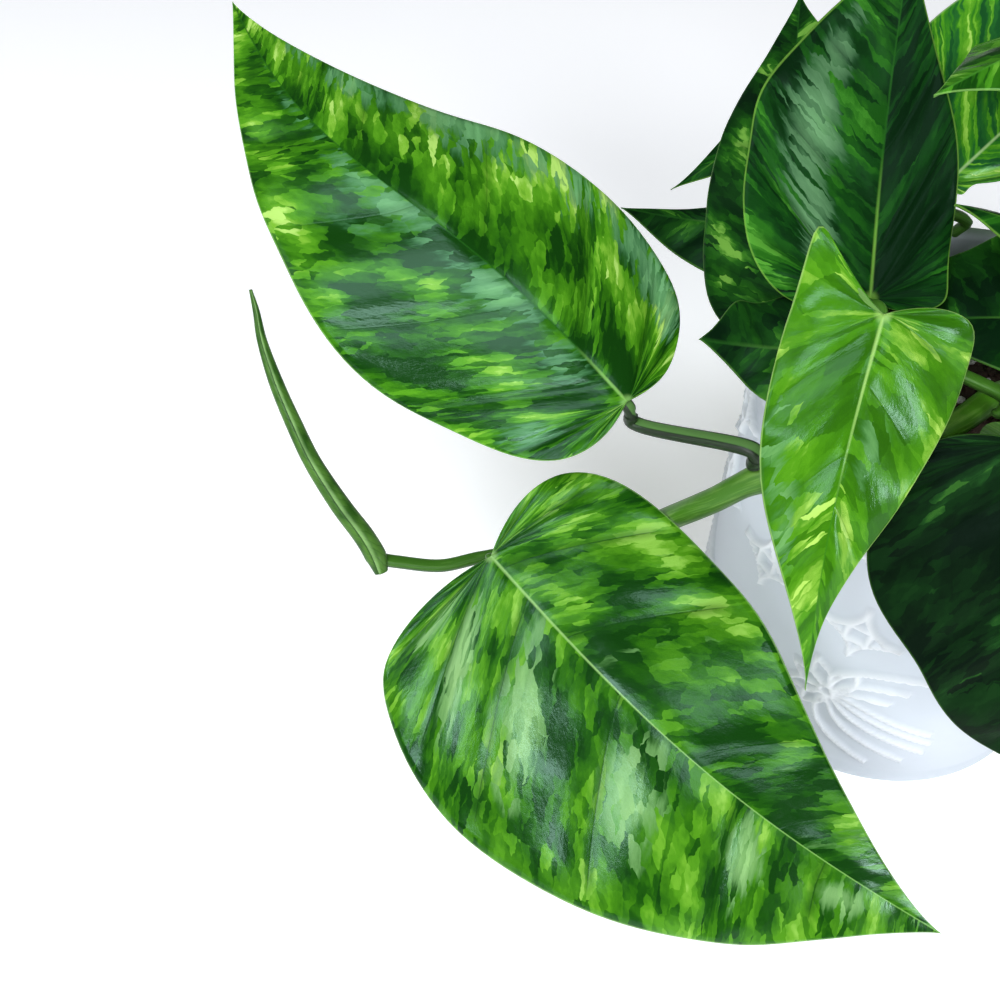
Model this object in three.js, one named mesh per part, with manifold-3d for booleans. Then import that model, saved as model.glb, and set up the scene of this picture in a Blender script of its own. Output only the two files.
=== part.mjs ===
// A young marbled pothos in a white glazed pot: stems that stand in the soil, and heart-shaped
// leaves on stalks. One stem trails over the rim with two large leaves and a leaf still rolled up.
// Millimetres, +Z up. The origin is the middle of the pot's flat underside.

import * as THREE from "three";
import { mergeVertices } from "three/addons/utils/BufferGeometryUtils.js";
import Module from "manifold-3d";

const wasm = await Module();
wasm.setup();

// Driving dimensions of the pot and its soil
const BASE_RADIUS = 50;
const RIM_RADIUS = 53;
const POT_HEIGHT = 110;
const POT_WALL = 4.5;
const POT_FLOOR = 6;
const EDGE_ROUND = 1.6;
const POT_SIDES = 64;
const SOIL_TOP = 97;
const SOIL_CROWN = 3;
const SOIL_SHOULDER = [0.7, 1];
const SOIL_SIDES = 40;
const SEAT_GAP = 0.3;

// Driving dimensions of the stems and stalks
const STEM_RADIUS = 2.7;
const NODE_SWELL = 0.5;
const NODE_SPREAD = 0.22;
const STEM_SIDES = 8;
const STEPS_PER_POINT = 4;
const HOLE_DEPTH = 14;
const STEM_FOOT = SOIL_TOP - HOLE_DEPTH + SEAT_GAP;
const HOLE_CLEARANCE = 1;
const HOLE_SIDES = 12;
const STALK_SIDES = 6;
const STALK_STEPS = 10;
const STALK_SINK = 0.25;
const STALK_LEAVES_BY = 5;
const STALK_THINS = 0.65;
const MIDRIB_STUB = 0.03;

// The form that all the leaves share, and then what each leaf can change
const BLADE = 0.9;
const AROUND_LARGE = 14;
const AROUND_SMALL = 10;
const SMALL_WIDTH = 20;
const ACROSS = 2;
const VEIN_SWEEP = 0.22;
const VEIN_CURVE = 1.2;
const LOBE_SCALE = 2.6;
const EAR_AT = 0.55;
const EAR_SPREAD = 0.3;
const BUMP_SPREAD = 0.25;
const RIGHT_PHASE = 1.7;
const LEAF = {
  arch: 5, // how far the midrib bows towards the face, and hook: an S added to that
  hook: 0,
  bend: 0, // how far the midrib bows to the left, and sway: an S added to that
  sway: 0,
  fold: -6, // degrees that each half is raised above the midrib, or lowered below it
  cup: 0.1, // how far the margin curls down, as a share of the half's width
  lobe: 0.08, // how far the lobes reach back past the notch, as a share of the length
  ear: 0, // a lobe drawn out to a point, as on a crumpled leaf
  taper: 1.6, // 1 is egg-shaped, 2.5 has a long drawn-out tip
  bumps: [], // swellings of the margin: the place round the outline, and how much is added
  wave: 1.5, // height and number of the margin's waves, and where they start
  waves: 2,
  phase: 0.2,
  stalk: 1.5, // the stalk's radius at the stem
  ribEnd: 0.24, // how far the stalk runs on under the blade as its midrib
  heel: [4, 4], // where the stalk turns up to the notch: so far behind it, and so far below
  bow: [], // places that a stalk passes on its way to the heel
  tone: "green",
};

const COLOURS = {
  glaze: 0xe4e8ea,
  soil: 0x3a2a20,
  stem: 0x5f8f2c,
  green: 0x3f7d1c,
  bright: 0x7cb342,
  dark: 0x1f4a14,
};

// Stems: each starts upright in the soil, and its points are the places it passes
const STEMS = {
  stem_trailing: [
    [8, -4, STEM_FOOT],
    [8, -4, SOIL_TOP],
    [1, -12, 116],
    [-11, -19, 122],
    [-24, -28, 122],
    [-42, -34, 120],
    [-58, -32, 112],
    [-67, -30.5, 102],
    [-75, -26, 89],
    [-82, -26, 83],
    [-90, -27, 79.5],
  ],
  stem_front: [
    [-10, -24, STEM_FOOT],
    [-10, -24, SOIL_TOP],
    [-12, -28, 110],
    [-16, -32, 124],
  ],
  stem_left: [
    [-24, 14, STEM_FOOT],
    [-24, 14, SOIL_TOP],
    [-25, 15, 108],
    [-27, 13, 118],
  ],
  stem_rear: [
    [-6, 30, STEM_FOOT],
    [-6, 30, SOIL_TOP],
    [-8, 33, 110],
    [-10, 34, 124],
  ],
  stem_middle: [
    [14, 10, STEM_FOOT],
    [14, 10, SOIL_TOP],
    [16, 12, 116],
    [19, 15, 136],
    [22, 18, 152],
  ],
  stem_right: [
    [28, -8, STEM_FOOT],
    [28, -8, SOIL_TOP],
    [34, -12, 114],
    [48, -18, 121],
    [62, -22, 116],
    [72, -26, 104],
  ],
  stem_right_rear: [
    [22, 28, STEM_FOOT],
    [22, 28, SOIL_TOP],
    [26, 32, 114],
    [34, 38, 128],
  ],
};

// Leaves: at is the place on the stem, counted in its points; away is the way the stalk leaves it
const LEAVES = {
  leaf_left_large: {
    stem: "stem_trailing", at: 6.02, away: [-0.5, 0.2, 0.85], stalk: 1.8,
    base: [-85, -17, 118], tip: [-176, 86, 150], face: [0.05, -0.55, 0.83],
    arch: 7, bend: 6, sway: -3, fold: -8, wave: 2.5, waves: 1.8, phase: 0.35,
    left: { width: 31, taper: 1.3, lobe: 0.05, bumps: [[1.2, 0.1], [1.42, 0.06]] },
    right: { width: 31, taper: 1.6, lobe: 0.03, bumps: [[0.35, -0.1], [1.6, 0.05]] },
  },
  leaf_front_left_large: {
    stem: "stem_trailing", at: 8.7, away: [-0.9, -0.3, 0.1], stalk: 1.7, heel: [-4, 5], ribEnd: 0,
    base: [-113, -36, 90], tip: [-16, -100, 40], face: [-0.1, -0.45, 0.9],
    arch: 7, bend: -6, fold: -6, cup: 0.12, waves: 2.2, phase: 0.1,
    left: { width: 34, taper: 2.0, lobe: 0.06, fold: 0, cup: 0.05, bumps: [[1.4, 0.06]] },
    right: {
      width: 46, taper: 1.4, lobe: 0.08, fold: -4,
      bumps: [[0.42, 0.14], [1.45, -0.05], [2.12, 0.1]],
    },
  },
  leaf_bright_middle: {
    tone: "bright",
    stem: "stem_front", at: 3, away: [-0.2, 0, 1], bow: [[-30, -25, 137]], heel: [0, 5],
    base: [-46, -30, 153], tip: [-52, -69, 92], face: [-0.05, -0.9, 0.42],
    arch: 4, bend: -3, fold: -12, waves: 2.2, phase: 0.35,
    left: { width: 19, taper: 3.6, lobe: 0.06, bumps: [[0.5, 0.06], [1.05, 0.08], [1.7, 0.1]] },
    right: { width: 15.5, taper: 2.3, lobe: 0.03, ear: 0.22, bumps: [[0.45, 0.15], [0.85, -0.05]] },
  },
  leaf_dark_front: {
    tone: "dark",
    stem: "stem_front", at: 2.1, away: [0.7, -0.5, 0.5], bow: [[-13, -35, 129]],
    base: [-17, -41, 133], tip: [5, -75, 61], face: [-0.15, -0.85, 0.5],
    arch: 7, bend: -5, fold: -8, waves: 1.6, phase: 0.1,
    left: { width: 25, lobe: 0.04 },
    right: { width: 26, bumps: [[1.6, -0.13], [2.2, 0.2]] },
  },
  leaf_upright: {
    stem: "stem_left", at: 3, away: [-0.2, -0.9, 0.3], bow: [[-31, -3, 120]], heel: [5, 1],
    base: [-34, 2, 129], tip: [-30, 50, 181], face: [-0.15, -0.85, 0.5],
    arch: -4, fold: 8, cup: -0.05, wave: 2, waves: 1.5, phase: 0.3,
    left: { width: 28, taper: 1.1, bumps: [[1.75, 0.14], [2.15, 0.1]] },
    right: { width: 15, bumps: [[0.5, 0.3]] },
  },
  leaf_upright_left: {
    tone: "dark",
    stem: "stem_left", at: 2.3, away: [-0.9, -0.2, 0.4],
    base: [-46, 10, 118], tip: [-39, 84, 153], face: [-0.45, -0.65, 0.6],
    fold: -8,
    left: { width: 22, bumps: [[1.95, 0.15]] },
    right: { width: 24 },
  },
  leaf_low_left: {
    tone: "dark",
    stem: "stem_left", at: 1.7, away: [0, -0.9, 0.4],
    base: [-35, -7, 117], tip: [-70, -6, 125], face: [-0.2, -0.5, 0.85],
    hook: 2, fold: -10, cup: 0.2, wave: 2, waves: 2.5, phase: 0.1,
    left: { width: 14 },
    right: { width: 14, taper: 1, bumps: [[2.25, 0.5]] },
  },
  leaf_rear_left: {
    tone: "dark",
    stem: "stem_rear", at: 2.2, away: [-0.8, 0.3, 0.6],
    base: [-37, 42, 117], tip: [-80, 58, 111], heel: [3, 2], face: [-0.1, -0.35, 0.9],
    arch: 4, bend: 4, wave: 1,
    left: { width: 14 },
    right: { width: 5 },
  },
  leaf_rear_small: {
    stem: "stem_rear", at: 2.1, away: [-0.2, 0.6, 0.8], bow: [[-15, 50, 123]], stalk: 1.2,
    base: [-31, 82, 116], tip: [-65, 73, 106], face: [-0.1, -0.45, 0.85],
    hook: 3, bend: -2, wave: 1,
    left: { width: 7, taper: 2.2 },
    right: { width: 6, taper: 2.2 },
  },
  leaf_striped_rear: {
    tone: "bright",
    stem: "stem_rear", at: 3, away: [0.1, -0.3, 1],
    base: [-16, 25, 141], tip: [42, 76, 169], face: [0.1, -0.7, 0.6],
    arch: 4, fold: -4, cup: 0.05, wave: 1,
    left: { width: 27 },
    right: { width: 17, lobe: 0, bumps: [[0.45, -0.55], [0.85, -0.35]] },
  },
  leaf_curled_top: {
    stem: "stem_middle", at: 3.4, away: [-0.9, 0.3, 0.3],
    base: [14, 27, 171], tip: [-33, 9, 170], face: [0.05, -0.05, 1],
    arch: 6, fold: -25, cup: 0.25, wave: 1, waves: 1.5,
    left: { width: 14 },
    right: { width: 22 },
  },
  leaf_small_middle: {
    stem: "stem_middle", at: 3.1, away: [-0.4, -0.9, 0.1], stalk: 1.2,
    base: [5, -10, 142], tip: [-21, 9, 147], face: [0.3, -0.1, 1],
    arch: 3, fold: -20, wave: 0.5,
    left: { width: 8 },
    right: { width: 15 },
  },
  leaf_low_middle: {
    stem: "stem_middle", at: 1.5, away: [0, -0.9, 0.4], stalk: 1.2,
    base: [13, -8, 129], tip: [-29, 0, 123], face: [0.2, -0.4, 0.9],
    arch: 5, wave: 1,
    left: { width: 16, fold: 8, cup: 0 },
    right: { width: 23, taper: 1.1, bumps: [[2.2, 0.3]] },
  },
  leaf_right_front_large: {
    stem: "stem_right", at: 4.9, away: [0.1, -0.7, 0.7],
    base: [64, -46, 124], tip: [116, -122, 78], face: [0.15, -0.3, 0.95],
    arch: 9, bend: 3, cup: 0.12,
    left: { width: 38 },
    right: { width: 36 },
  },
  leaf_right_large: {
    stem: "stem_right", at: 3.6, away: [0.3, 0.6, 0.8],
    base: [74, 8, 136], tip: [174, 34, 104], face: [0.2, -0.1, 0.95],
    arch: 9, bend: -3,
    left: { width: 36 },
    right: { width: 37 },
  },
  leaf_front_right: {
    stem: "stem_right", at: 2.2, away: [-0.2, -0.9, 0.5],
    base: [20, -50, 128], tip: [44, -92, 58], face: [0.1, -0.6, 0.7],
    arch: 7, bend: 2,
    left: { width: 27 },
    right: { width: 28 },
  },
  leaf_right_low: {
    stem: "stem_right", at: 4.5, away: [0.7, 0.6, 0.3],
    base: [88, -8, 112], tip: [148, -30, 60], face: [0.3, -0.2, 0.9],
    arch: 7, bend: -2,
    left: { width: 27 },
    right: { width: 28 },
  },
  leaf_middle_right: {
    stem: "stem_middle", at: 1.8, away: [0.9, -0.2, 0.4],
    base: [42, 2, 146], tip: [92, -22, 140], face: [0, -0.2, 1],
    bend: 2,
    left: { width: 24 },
    right: { width: 25 },
  },
  leaf_right_rear_low: {
    stem: "stem_right_rear", at: 1.8, away: [0.8, 0.5, 0.4],
    base: [56, 54, 122], tip: [108, 92, 70], face: [0.4, 0.4, 0.8],
    arch: 7, bend: -2,
    left: { width: 28 },
    right: { width: 27 },
  },
  leaf_rear_left_low: {
    stem: "stem_rear", at: 1.7, away: [0.3, 0.8, 0.5],
    base: [-7, 60, 118], tip: [-20, 100, 61], face: [-0.2, 0.6, 0.8],
    arch: 6, bend: 2,
    left: { width: 21 },
    right: { width: 22 },
  },
  leaf_right_rear_large: {
    stem: "stem_right_rear", at: 3, away: [0.3, 0.1, 1],
    base: [54, 46, 150], tip: [124, 114, 122], face: [0.1, 0.1, 1],
    arch: 8, bend: 3, fold: -5,
    left: { width: 34 },
    right: { width: 33 },
  },
  leaf_rear_large: {
    stem: "stem_right_rear", at: 2.2, away: [-0.3, 0.7, 0.6],
    base: [14, 64, 138], tip: [22, 152, 92], face: [0, 0.4, 0.9],
    arch: 8, bend: 2, fold: -5,
    left: { width: 30 },
    right: { width: 30 },
  },
  leaf_top_front: {
    stem: "stem_middle", at: 4, away: [0.1, -0.4, 1],
    base: [24, -4, 180], tip: [66, -60, 198], face: [-0.1, -0.3, 0.9],
    bend: 2, fold: -5,
    left: { width: 27 },
    right: { width: 27 },
  },
  leaf_top_right: {
    stem: "stem_middle", at: 3.6, away: [0.8, -0.1, 0.6],
    base: [44, 16, 188], tip: [102, 48, 212], face: [-0.3, -0.2, 0.9],
    arch: 6, bend: 2, fold: -5,
    left: { width: 28 },
    right: { width: 27 },
  },
  leaf_top_rear: {
    stem: "stem_middle", at: 2.7, away: [0.1, 0.8, 0.6],
    base: [24, 40, 182], tip: [30, 110, 202], face: [0, -0.3, 0.9],
    arch: 6, bend: 2, fold: -5,
    left: { width: 26 },
    right: { width: 27 },
  },
};

// The youngest leaf, still rolled round itself, on a stalk from the tip of the trailing stem
const ROLLED_STALK = [
  [-106, -27.4, 79.2],
  [-115.5, -29, 79.3],
  [-124.5, -31.5, 79.7],
  [-134, -32, 82],
  [-138, -32.2, 83.5],
];
const ROLLED_BLADE = [
  [-137.5, -34.4, 81.5],
  [-138.7, -32.2, 84.6],
  [-141.3, -29.3, 88.4],
  [-146.2, -24.7, 93.4],
  [-151.8, -18.6, 100.4],
  [-155.9, -12.2, 106.3],
  [-159.2, -6.7, 113],
  [-161.7, -1.2, 119.8],
  [-162.7, 3.0, 124.5],
  [-163.4, 5.1, 128.7],
];
const ROLLED_RADIUS = [1.6, 2.5, 2.4, 2.3, 2, 1.85, 1.6, 1.1, 0.75, 0.35];

const ROLLED_STALK_RADIUS = 1.5;
const ROLLED_STALK_STEPS = 14;
const ROLLED_BLADE_STEPS = 20;

const vec = ([x, y, z]) => new THREE.Vector3(x, y, z);
const route = (points) => new THREE.CatmullRomCurve3(points, false, "catmullrom", 0.5);
const hump = (x, middle, spread) => Math.exp(-(((x - middle) / spread) ** 2));

// A closed geometry as a solid that can be joined or cut, and a solid as a geometry
function solidOf(geometry) {
  const bare = geometry.clone();
  bare.deleteAttribute("normal");
  bare.deleteAttribute("uv");
  const merged = mergeVertices(bare, 1e-3);
  return new wasm.Manifold(
    new wasm.Mesh({
      numProp: 3,
      vertProperties: merged.attributes.position.array,
      triVerts: new Uint32Array(merged.index.array),
    }),
  );
}

function geometryOf(solid) {
  const mesh = solid.getMesh();
  const geometry = new THREE.BufferGeometry();
  geometry.setAttribute("position", new THREE.BufferAttribute(mesh.vertProperties, 3));
  geometry.setIndex(new THREE.BufferAttribute(mesh.triVerts, 1));
  geometry.computeVertexNormals();
  return geometry;
}

// A surface from triangles whose corners are points: those that meet are one, and a triangle
// with two corners in one place is left out
function surfaceOf(triangles) {
  const numbers = new Map();
  const positions = [];
  const index = [];
  const numberOf = (point) => {
    const key = point.toArray().map((c) => Math.round(c * 1e3)).join();
    if (!numbers.has(key)) {
      numbers.set(key, numbers.size);
      positions.push(...point.toArray());
    }
    return numbers.get(key);
  };
  for (const triangle of triangles) {
    const [a, b, c] = triangle.map(numberOf);
    if (a !== b && b !== c && c !== a) index.push(a, b, c);
  }
  const geometry = new THREE.BufferGeometry();
  geometry.setAttribute("position", new THREE.Float32BufferAttribute(positions, 3));
  geometry.setIndex(index);
  return geometry;
}

// A round stem along a curve, with flat ends and a radius that changes on the way
function stemAlong(curve, steps, sides, radiusAt) {
  const rings = [];
  const start = curve.getTangent(0);
  const level = Math.abs(start.z) > 0.9 ? new THREE.Vector3(1, 0, 0) : new THREE.Vector3(0, 0, 1);
  let side = new THREE.Vector3().crossVectors(start, level);
  for (let i = 0; i <= steps; i++) {
    const t = i / steps;
    const way = curve.getTangent(t);
    side = side.clone().addScaledVector(way, -side.dot(way)).normalize();
    const other = new THREE.Vector3().crossVectors(way, side);
    const ring = [];
    for (let k = 0; k < sides; k++) {
      const turn = (2 * Math.PI * k) / sides;
      const spoke = side.clone().multiplyScalar(Math.cos(turn)).addScaledVector(other, Math.sin(turn));
      ring.push(curve.getPoint(t).addScaledVector(spoke, radiusAt(t)));
    }
    rings.push(ring);
  }
  const triangles = [];
  for (let i = 0; i < steps; i++) {
    for (let k = 0; k < sides; k++) {
      const next = (k + 1) % sides;
      triangles.push([rings[i][k], rings[i][next], rings[i + 1][next]]);
      triangles.push([rings[i][k], rings[i + 1][next], rings[i + 1][k]]);
    }
  }
  const end = rings[steps];
  for (let k = 1; k < sides - 1; k++) {
    triangles.push([rings[0][0], rings[0][k + 1], rings[0][k]]);
    triangles.push([end[0], end[k], end[k + 1]]);
  }
  return surfaceOf(triangles);
}

// Half the leaf's width, from 0 to 1, where turn runs from 0 at the notch round to PI at the tip
function halfWidth(turn, taper) {
  const widest = 2 * Math.atan(1 / Math.sqrt(1 + taper));
  const curve = (t) => Math.sin(t) * Math.cos(t / 2) ** taper;
  return Math.max(0, curve(turn) / curve(widest));
}

// The margin of one half: how far along the leaf it lies, and how far out
function margin(turn, half) {
  const lobe = half.lobe * LOBE_SCALE * Math.sin(turn) * Math.max(Math.cos(turn), 0) ** 2;
  const ear = half.ear * hump(turn, EAR_AT, EAR_SPREAD) * Math.min(1, (2 * turn) / EAR_AT);
  let swell = 1;
  for (const [at, amount] of half.bumps) swell += amount * hump(turn, at, BUMP_SPREAD);
  return {
    along: (1 - Math.cos(turn)) / 2 - lobe - ear,
    out: halfWidth(turn, half.taper) * swell,
  };
}

// The curved sheet of a leaf. Its midrib is a bowed line, and each side vein leaves it at a slant
// and runs out to the margin, so share is the part of a vein's way out.
function sheetOf(leaf) {
  const base = vec(leaf.base);
  const span = vec(leaf.tip).sub(base);
  const along = span.clone().normalize();
  const face = vec(leaf.face);
  face.addScaledVector(along, -face.dot(along)).normalize();
  const sideways = new THREE.Vector3().crossVectors(face, along);
  const rib = (a) => {
    const c = Math.PI * THREE.MathUtils.clamp(a, 0, 1);
    return base
      .clone()
      .addScaledVector(span, a)
      .addScaledVector(face, leaf.arch * Math.sin(c) + leaf.hook * Math.sin(2 * c))
      .addScaledVector(sideways, leaf.bend * Math.sin(c) + leaf.sway * Math.sin(2 * c));
  };
  const point = (side, turn, share) => {
    const half = { ...leaf, ...(side > 0 ? leaf.left : leaf.right) };
    const edge = margin(turn, half);
    const root = Math.max(0, (1 - Math.cos(turn)) / 2 - VEIN_SWEEP * halfWidth(turn, leaf.taper));
    const a = root + (edge.along - root) * share ** VEIN_CURVE;
    const b = edge.out * share;
    const fold = THREE.MathUtils.degToRad(half.fold);
    const phase = half.phase * (side > 0 ? 1 : RIGHT_PHASE);
    const wave = half.wave * b * b * Math.sin(2 * Math.PI * (half.waves * a + phase));
    const lift = half.width * (b * Math.sin(fold) - half.cup * b * b) + wave;
    return rib(a)
      .addScaledVector(sideways, side * half.width * b * Math.cos(fold))
      .addScaledVector(face, lift);
  };
  return { along, face, rib, point };
}

// The way out of the sheet at a point of it. At the midrib and at both ends it is the leaf's face,
// so that the two halves meet.
function wayOut(sheet, side, turn, share) {
  if (share === 0 || turn === 0 || turn === Math.PI) return sheet.face;
  const step = 1e-3;
  const from = sheet.point(side, turn, share);
  const round = sheet.point(side, turn + step, share).sub(from);
  const outwards = sheet.point(side, turn, share + step).sub(from);
  const normal = round.cross(outwards).normalize();
  return normal.dot(sheet.face) < 0 ? normal.negate() : normal;
}

// The blade: the sheet given its thickness, with both faces split into triangles alike
function bladeOf(sheet, around) {
  const triangles = [];
  for (const side of [1, -1]) {
    const add = (a, b, c) => triangles.push(side > 0 ? [a, b, c] : [a, c, b]);
    const upper = [];
    const lower = [];
    for (let i = 0; i <= around; i++) {
      const turn = (Math.PI * i) / around;
      upper.push([]);
      lower.push([]);
      for (let j = 0; j <= ACROSS; j++) {
        const point = sheet.point(side, turn, j / ACROSS);
        const out = wayOut(sheet, side, turn, j / ACROSS);
        upper[i].push(point.clone().addScaledVector(out, BLADE / 2));
        lower[i].push(point.clone().addScaledVector(out, -BLADE / 2));
      }
    }
    for (let i = 0; i < around; i++) {
      for (let j = 0; j < ACROSS; j++) {
        add(upper[i][j], upper[i + 1][j], upper[i + 1][j + 1]);
        add(upper[i][j], upper[i + 1][j + 1], upper[i][j + 1]);
        add(lower[i][j], lower[i + 1][j + 1], lower[i + 1][j]);
        add(lower[i][j], lower[i][j + 1], lower[i + 1][j + 1]);
      }
      add(upper[i][ACROSS], upper[i + 1][ACROSS], lower[i + 1][ACROSS]);
      add(upper[i][ACROSS], lower[i + 1][ACROSS], lower[i][ACROSS]);
    }
  }
  return surfaceOf(triangles);
}

// The stalk: out of the stem, up to the notch from below, and on under the blade as its midrib
function stalkOf(leaf, sheet, curve, place) {
  const away = vec(leaf.away).normalize();
  const way = curve.getTangent(place);
  const lean = away.dot(way);
  const outward = away.clone().addScaledVector(way, -lean).normalize();
  const clear = STEM_RADIUS + NODE_SWELL + SEAT_GAP + leaf.stalk * Math.abs(lean);
  const foot = curve.getPoint(place).addScaledVector(outward, clear);
  const radiusAt = (t) => leaf.stalk * (1 - STALK_THINS * t * t);
  const under = (a, share) => sheet.rib(a).addScaledVector(sheet.face, STALK_SINK - share * leaf.stalk);
  const heel = under(0, 1)
    .addScaledVector(sheet.along, -leaf.heel[0])
    .addScaledVector(sheet.face, -leaf.heel[1]);
  const points = [foot, foot.clone().addScaledVector(away, STALK_LEAVES_BY), ...leaf.bow.map(vec), heel];
  points.push(under(0, 0.75));
  if (leaf.ribEnd > 0) points.push(under(leaf.ribEnd / 2, 0.55));
  points.push(under(Math.max(leaf.ribEnd, MIDRIB_STUB), 0.35));
  return stemAlong(route(points), STALK_STEPS, STALK_SIDES, radiusAt);
}

// A turned shape from its outline, as pairs of radius and height
function turned(outline, sides) {
  const points = outline.map(([radius, height]) => new THREE.Vector2(radius, height));
  return new THREE.LatheGeometry(points, sides).rotateX(Math.PI / 2);
}

// The pot: a slightly flared wall and a flat floor, with its edges eased
function makePot() {
  const inner = RIM_RADIUS - POT_WALL;
  const outline = [
    [0, 0],
    [BASE_RADIUS - EDGE_ROUND, 0],
    [BASE_RADIUS, EDGE_ROUND],
    [RIM_RADIUS, POT_HEIGHT - EDGE_ROUND],
    [RIM_RADIUS - EDGE_ROUND, POT_HEIGHT],
    [inner + EDGE_ROUND, POT_HEIGHT],
    [inner, POT_HEIGHT - EDGE_ROUND],
    [BASE_RADIUS - POT_WALL, POT_FLOOR],
    [0, POT_FLOOR],
  ];
  return turned(outline, POT_SIDES);
}

// The soil: it fills the pot to a low crown, with a plain hole for each stem
function makeSoil() {
  const radiusAt = (z) => {
    const share = (z - POT_FLOOR) / (POT_HEIGHT - EDGE_ROUND - POT_FLOOR);
    return THREE.MathUtils.lerp(BASE_RADIUS, RIM_RADIUS, share) - POT_WALL - 2 * SEAT_GAP;
  };
  const bottom = POT_FLOOR + SEAT_GAP;
  const outline = [
    [0, bottom],
    [radiusAt(bottom), bottom],
    [radiusAt(SOIL_TOP), SOIL_TOP - SOIL_CROWN],
    [radiusAt(SOIL_TOP) * SOIL_SHOULDER[0], SOIL_TOP - SOIL_SHOULDER[1]],
    [0, SOIL_TOP],
  ];
  let body = solidOf(turned(outline, SOIL_SIDES));
  const radius = STEM_RADIUS + HOLE_CLEARANCE;
  for (const [[x, y]] of Object.values(STEMS)) {
    const hole = new THREE.CylinderGeometry(radius, radius, 2 * HOLE_DEPTH, HOLE_SIDES);
    hole.rotateX(Math.PI / 2).translate(x, y, SOIL_TOP);
    body = body.subtract(solidOf(hole));
  }
  return geometryOf(body);
}

// A stem, a little thicker at each node, where a stalk leaves it
function makeStem(name) {
  const last = STEMS[name].length - 1;
  const nodes = Object.values(LEAVES).filter((leaf) => leaf.stem === name);
  const swell = (place) => Math.max(...nodes.map((leaf) => hump(place, leaf.at, NODE_SPREAD)));
  const radiusAt = (t) => STEM_RADIUS + NODE_SWELL * swell(t * last);
  return stemAlong(stemCurves[name], last * STEPS_PER_POINT, STEM_SIDES, radiusAt);
}

// A leaf: its blade and its stalk grew as one
function makeLeaf(leaf) {
  const sheet = sheetOf(leaf);
  const place = leaf.at / (STEMS[leaf.stem].length - 1);
  const stalk = solidOf(stalkOf(leaf, sheet, stemCurves[leaf.stem], place));
  const small = Math.max(leaf.left.width, leaf.right.width) < SMALL_WIDTH;
  const blade = solidOf(bladeOf(sheet, small ? AROUND_SMALL : AROUND_LARGE));
  return geometryOf(blade.add(stalk));
}

// The rolled leaf: its blade thins from a blunt foot to a fine tip, and its stalk carries on from
// the end of the trailing stem
function makeRolledLeaf() {
  const radiusAt = (t) => {
    const place = t * (ROLLED_RADIUS.length - 1);
    const low = Math.min(Math.floor(place), ROLLED_RADIUS.length - 2);
    return THREE.MathUtils.lerp(ROLLED_RADIUS[low], ROLLED_RADIUS[low + 1], place - low);
  };
  const stemTip = (by) =>
    stemCurves.stem_trailing.getPoint(1).addScaledVector(stemCurves.stem_trailing.getTangent(1), by);
  const stalkPoints = [stemTip(SEAT_GAP), stemTip(STALK_LEAVES_BY), ...ROLLED_STALK.map(vec)];
  const stalk = stemAlong(route(stalkPoints), ROLLED_STALK_STEPS, STALK_SIDES, () => ROLLED_STALK_RADIUS);
  const blade = stemAlong(route(ROLLED_BLADE.map(vec)), ROLLED_BLADE_STEPS, STEM_SIDES, radiusAt);
  return geometryOf(solidOf(blade).add(solidOf(stalk)));
}

const stemCurves = {};
for (const [name, points] of Object.entries(STEMS)) stemCurves[name] = route(points.map(vec));

const plant = new THREE.Group();

function addPart(name, geometry, color, roughness) {
  const material = new THREE.MeshStandardMaterial({ color, roughness, metalness: 0 });
  const mesh = new THREE.Mesh(geometry, material);
  mesh.name = name;
  plant.add(mesh);
}

addPart("pot", makePot(), COLOURS.glaze, 0.25);
addPart("soil", makeSoil(), COLOURS.soil, 0.95);
for (const name of Object.keys(STEMS)) addPart(name, makeStem(name), COLOURS.stem, 0.5);
for (const [name, given] of Object.entries(LEAVES)) {
  const leaf = { ...LEAF, ...given };
  addPart(name, makeLeaf(leaf), COLOURS[leaf.tone], 0.35);
}
addPart("leaf_rolled_young", makeRolledLeaf(), COLOURS.green, 0.4);

export default plant;
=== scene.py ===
# %% [markdown]
# # A young marbled pothos in a white pot
#
# A pothos is a climbing plant with heart-shaped, glossy leaves. Each leaf stands on a stalk that
# grows out of a stem, and the stems stand in potting soil. One stem hangs over the pot's rim.
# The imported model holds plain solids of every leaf, stem, pot and soil. This lesson grows the fine
# leaves, stalks and soil round the same places, so nothing changes size or moves.

import math

import bmesh
import bpy
import numpy as np
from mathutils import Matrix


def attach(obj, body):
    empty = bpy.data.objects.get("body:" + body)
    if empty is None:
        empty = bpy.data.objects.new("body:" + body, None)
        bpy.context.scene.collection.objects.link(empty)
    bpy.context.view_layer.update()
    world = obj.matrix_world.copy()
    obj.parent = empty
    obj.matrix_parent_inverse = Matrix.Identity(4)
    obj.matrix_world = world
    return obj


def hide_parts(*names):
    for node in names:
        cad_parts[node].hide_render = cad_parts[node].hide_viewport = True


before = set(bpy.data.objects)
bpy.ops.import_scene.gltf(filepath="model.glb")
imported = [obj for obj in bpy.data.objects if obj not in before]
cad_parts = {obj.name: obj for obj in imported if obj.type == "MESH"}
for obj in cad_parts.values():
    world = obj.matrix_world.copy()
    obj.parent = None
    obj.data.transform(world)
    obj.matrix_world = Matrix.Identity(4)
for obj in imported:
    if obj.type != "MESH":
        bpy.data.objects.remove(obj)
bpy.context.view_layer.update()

# %% [markdown]
# ## Colours, lengths and nodes
#
# Colours are given as sRGB codes, but a renderer adds up light, so each code is turned into
# linear light first. Lengths are written in millimetres, as they would be measured on the plant.
# One function adds any shader or geometry node with its settings and links. A node's inputs are
# given by name or in their order: a range takes a value, from two numbers, to two numbers.

# %% Colours, lengths and nodes
MM = 0.001
SEED = 7
SMOOTH = dict(interpolation_type="SMOOTHSTEP")


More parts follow.
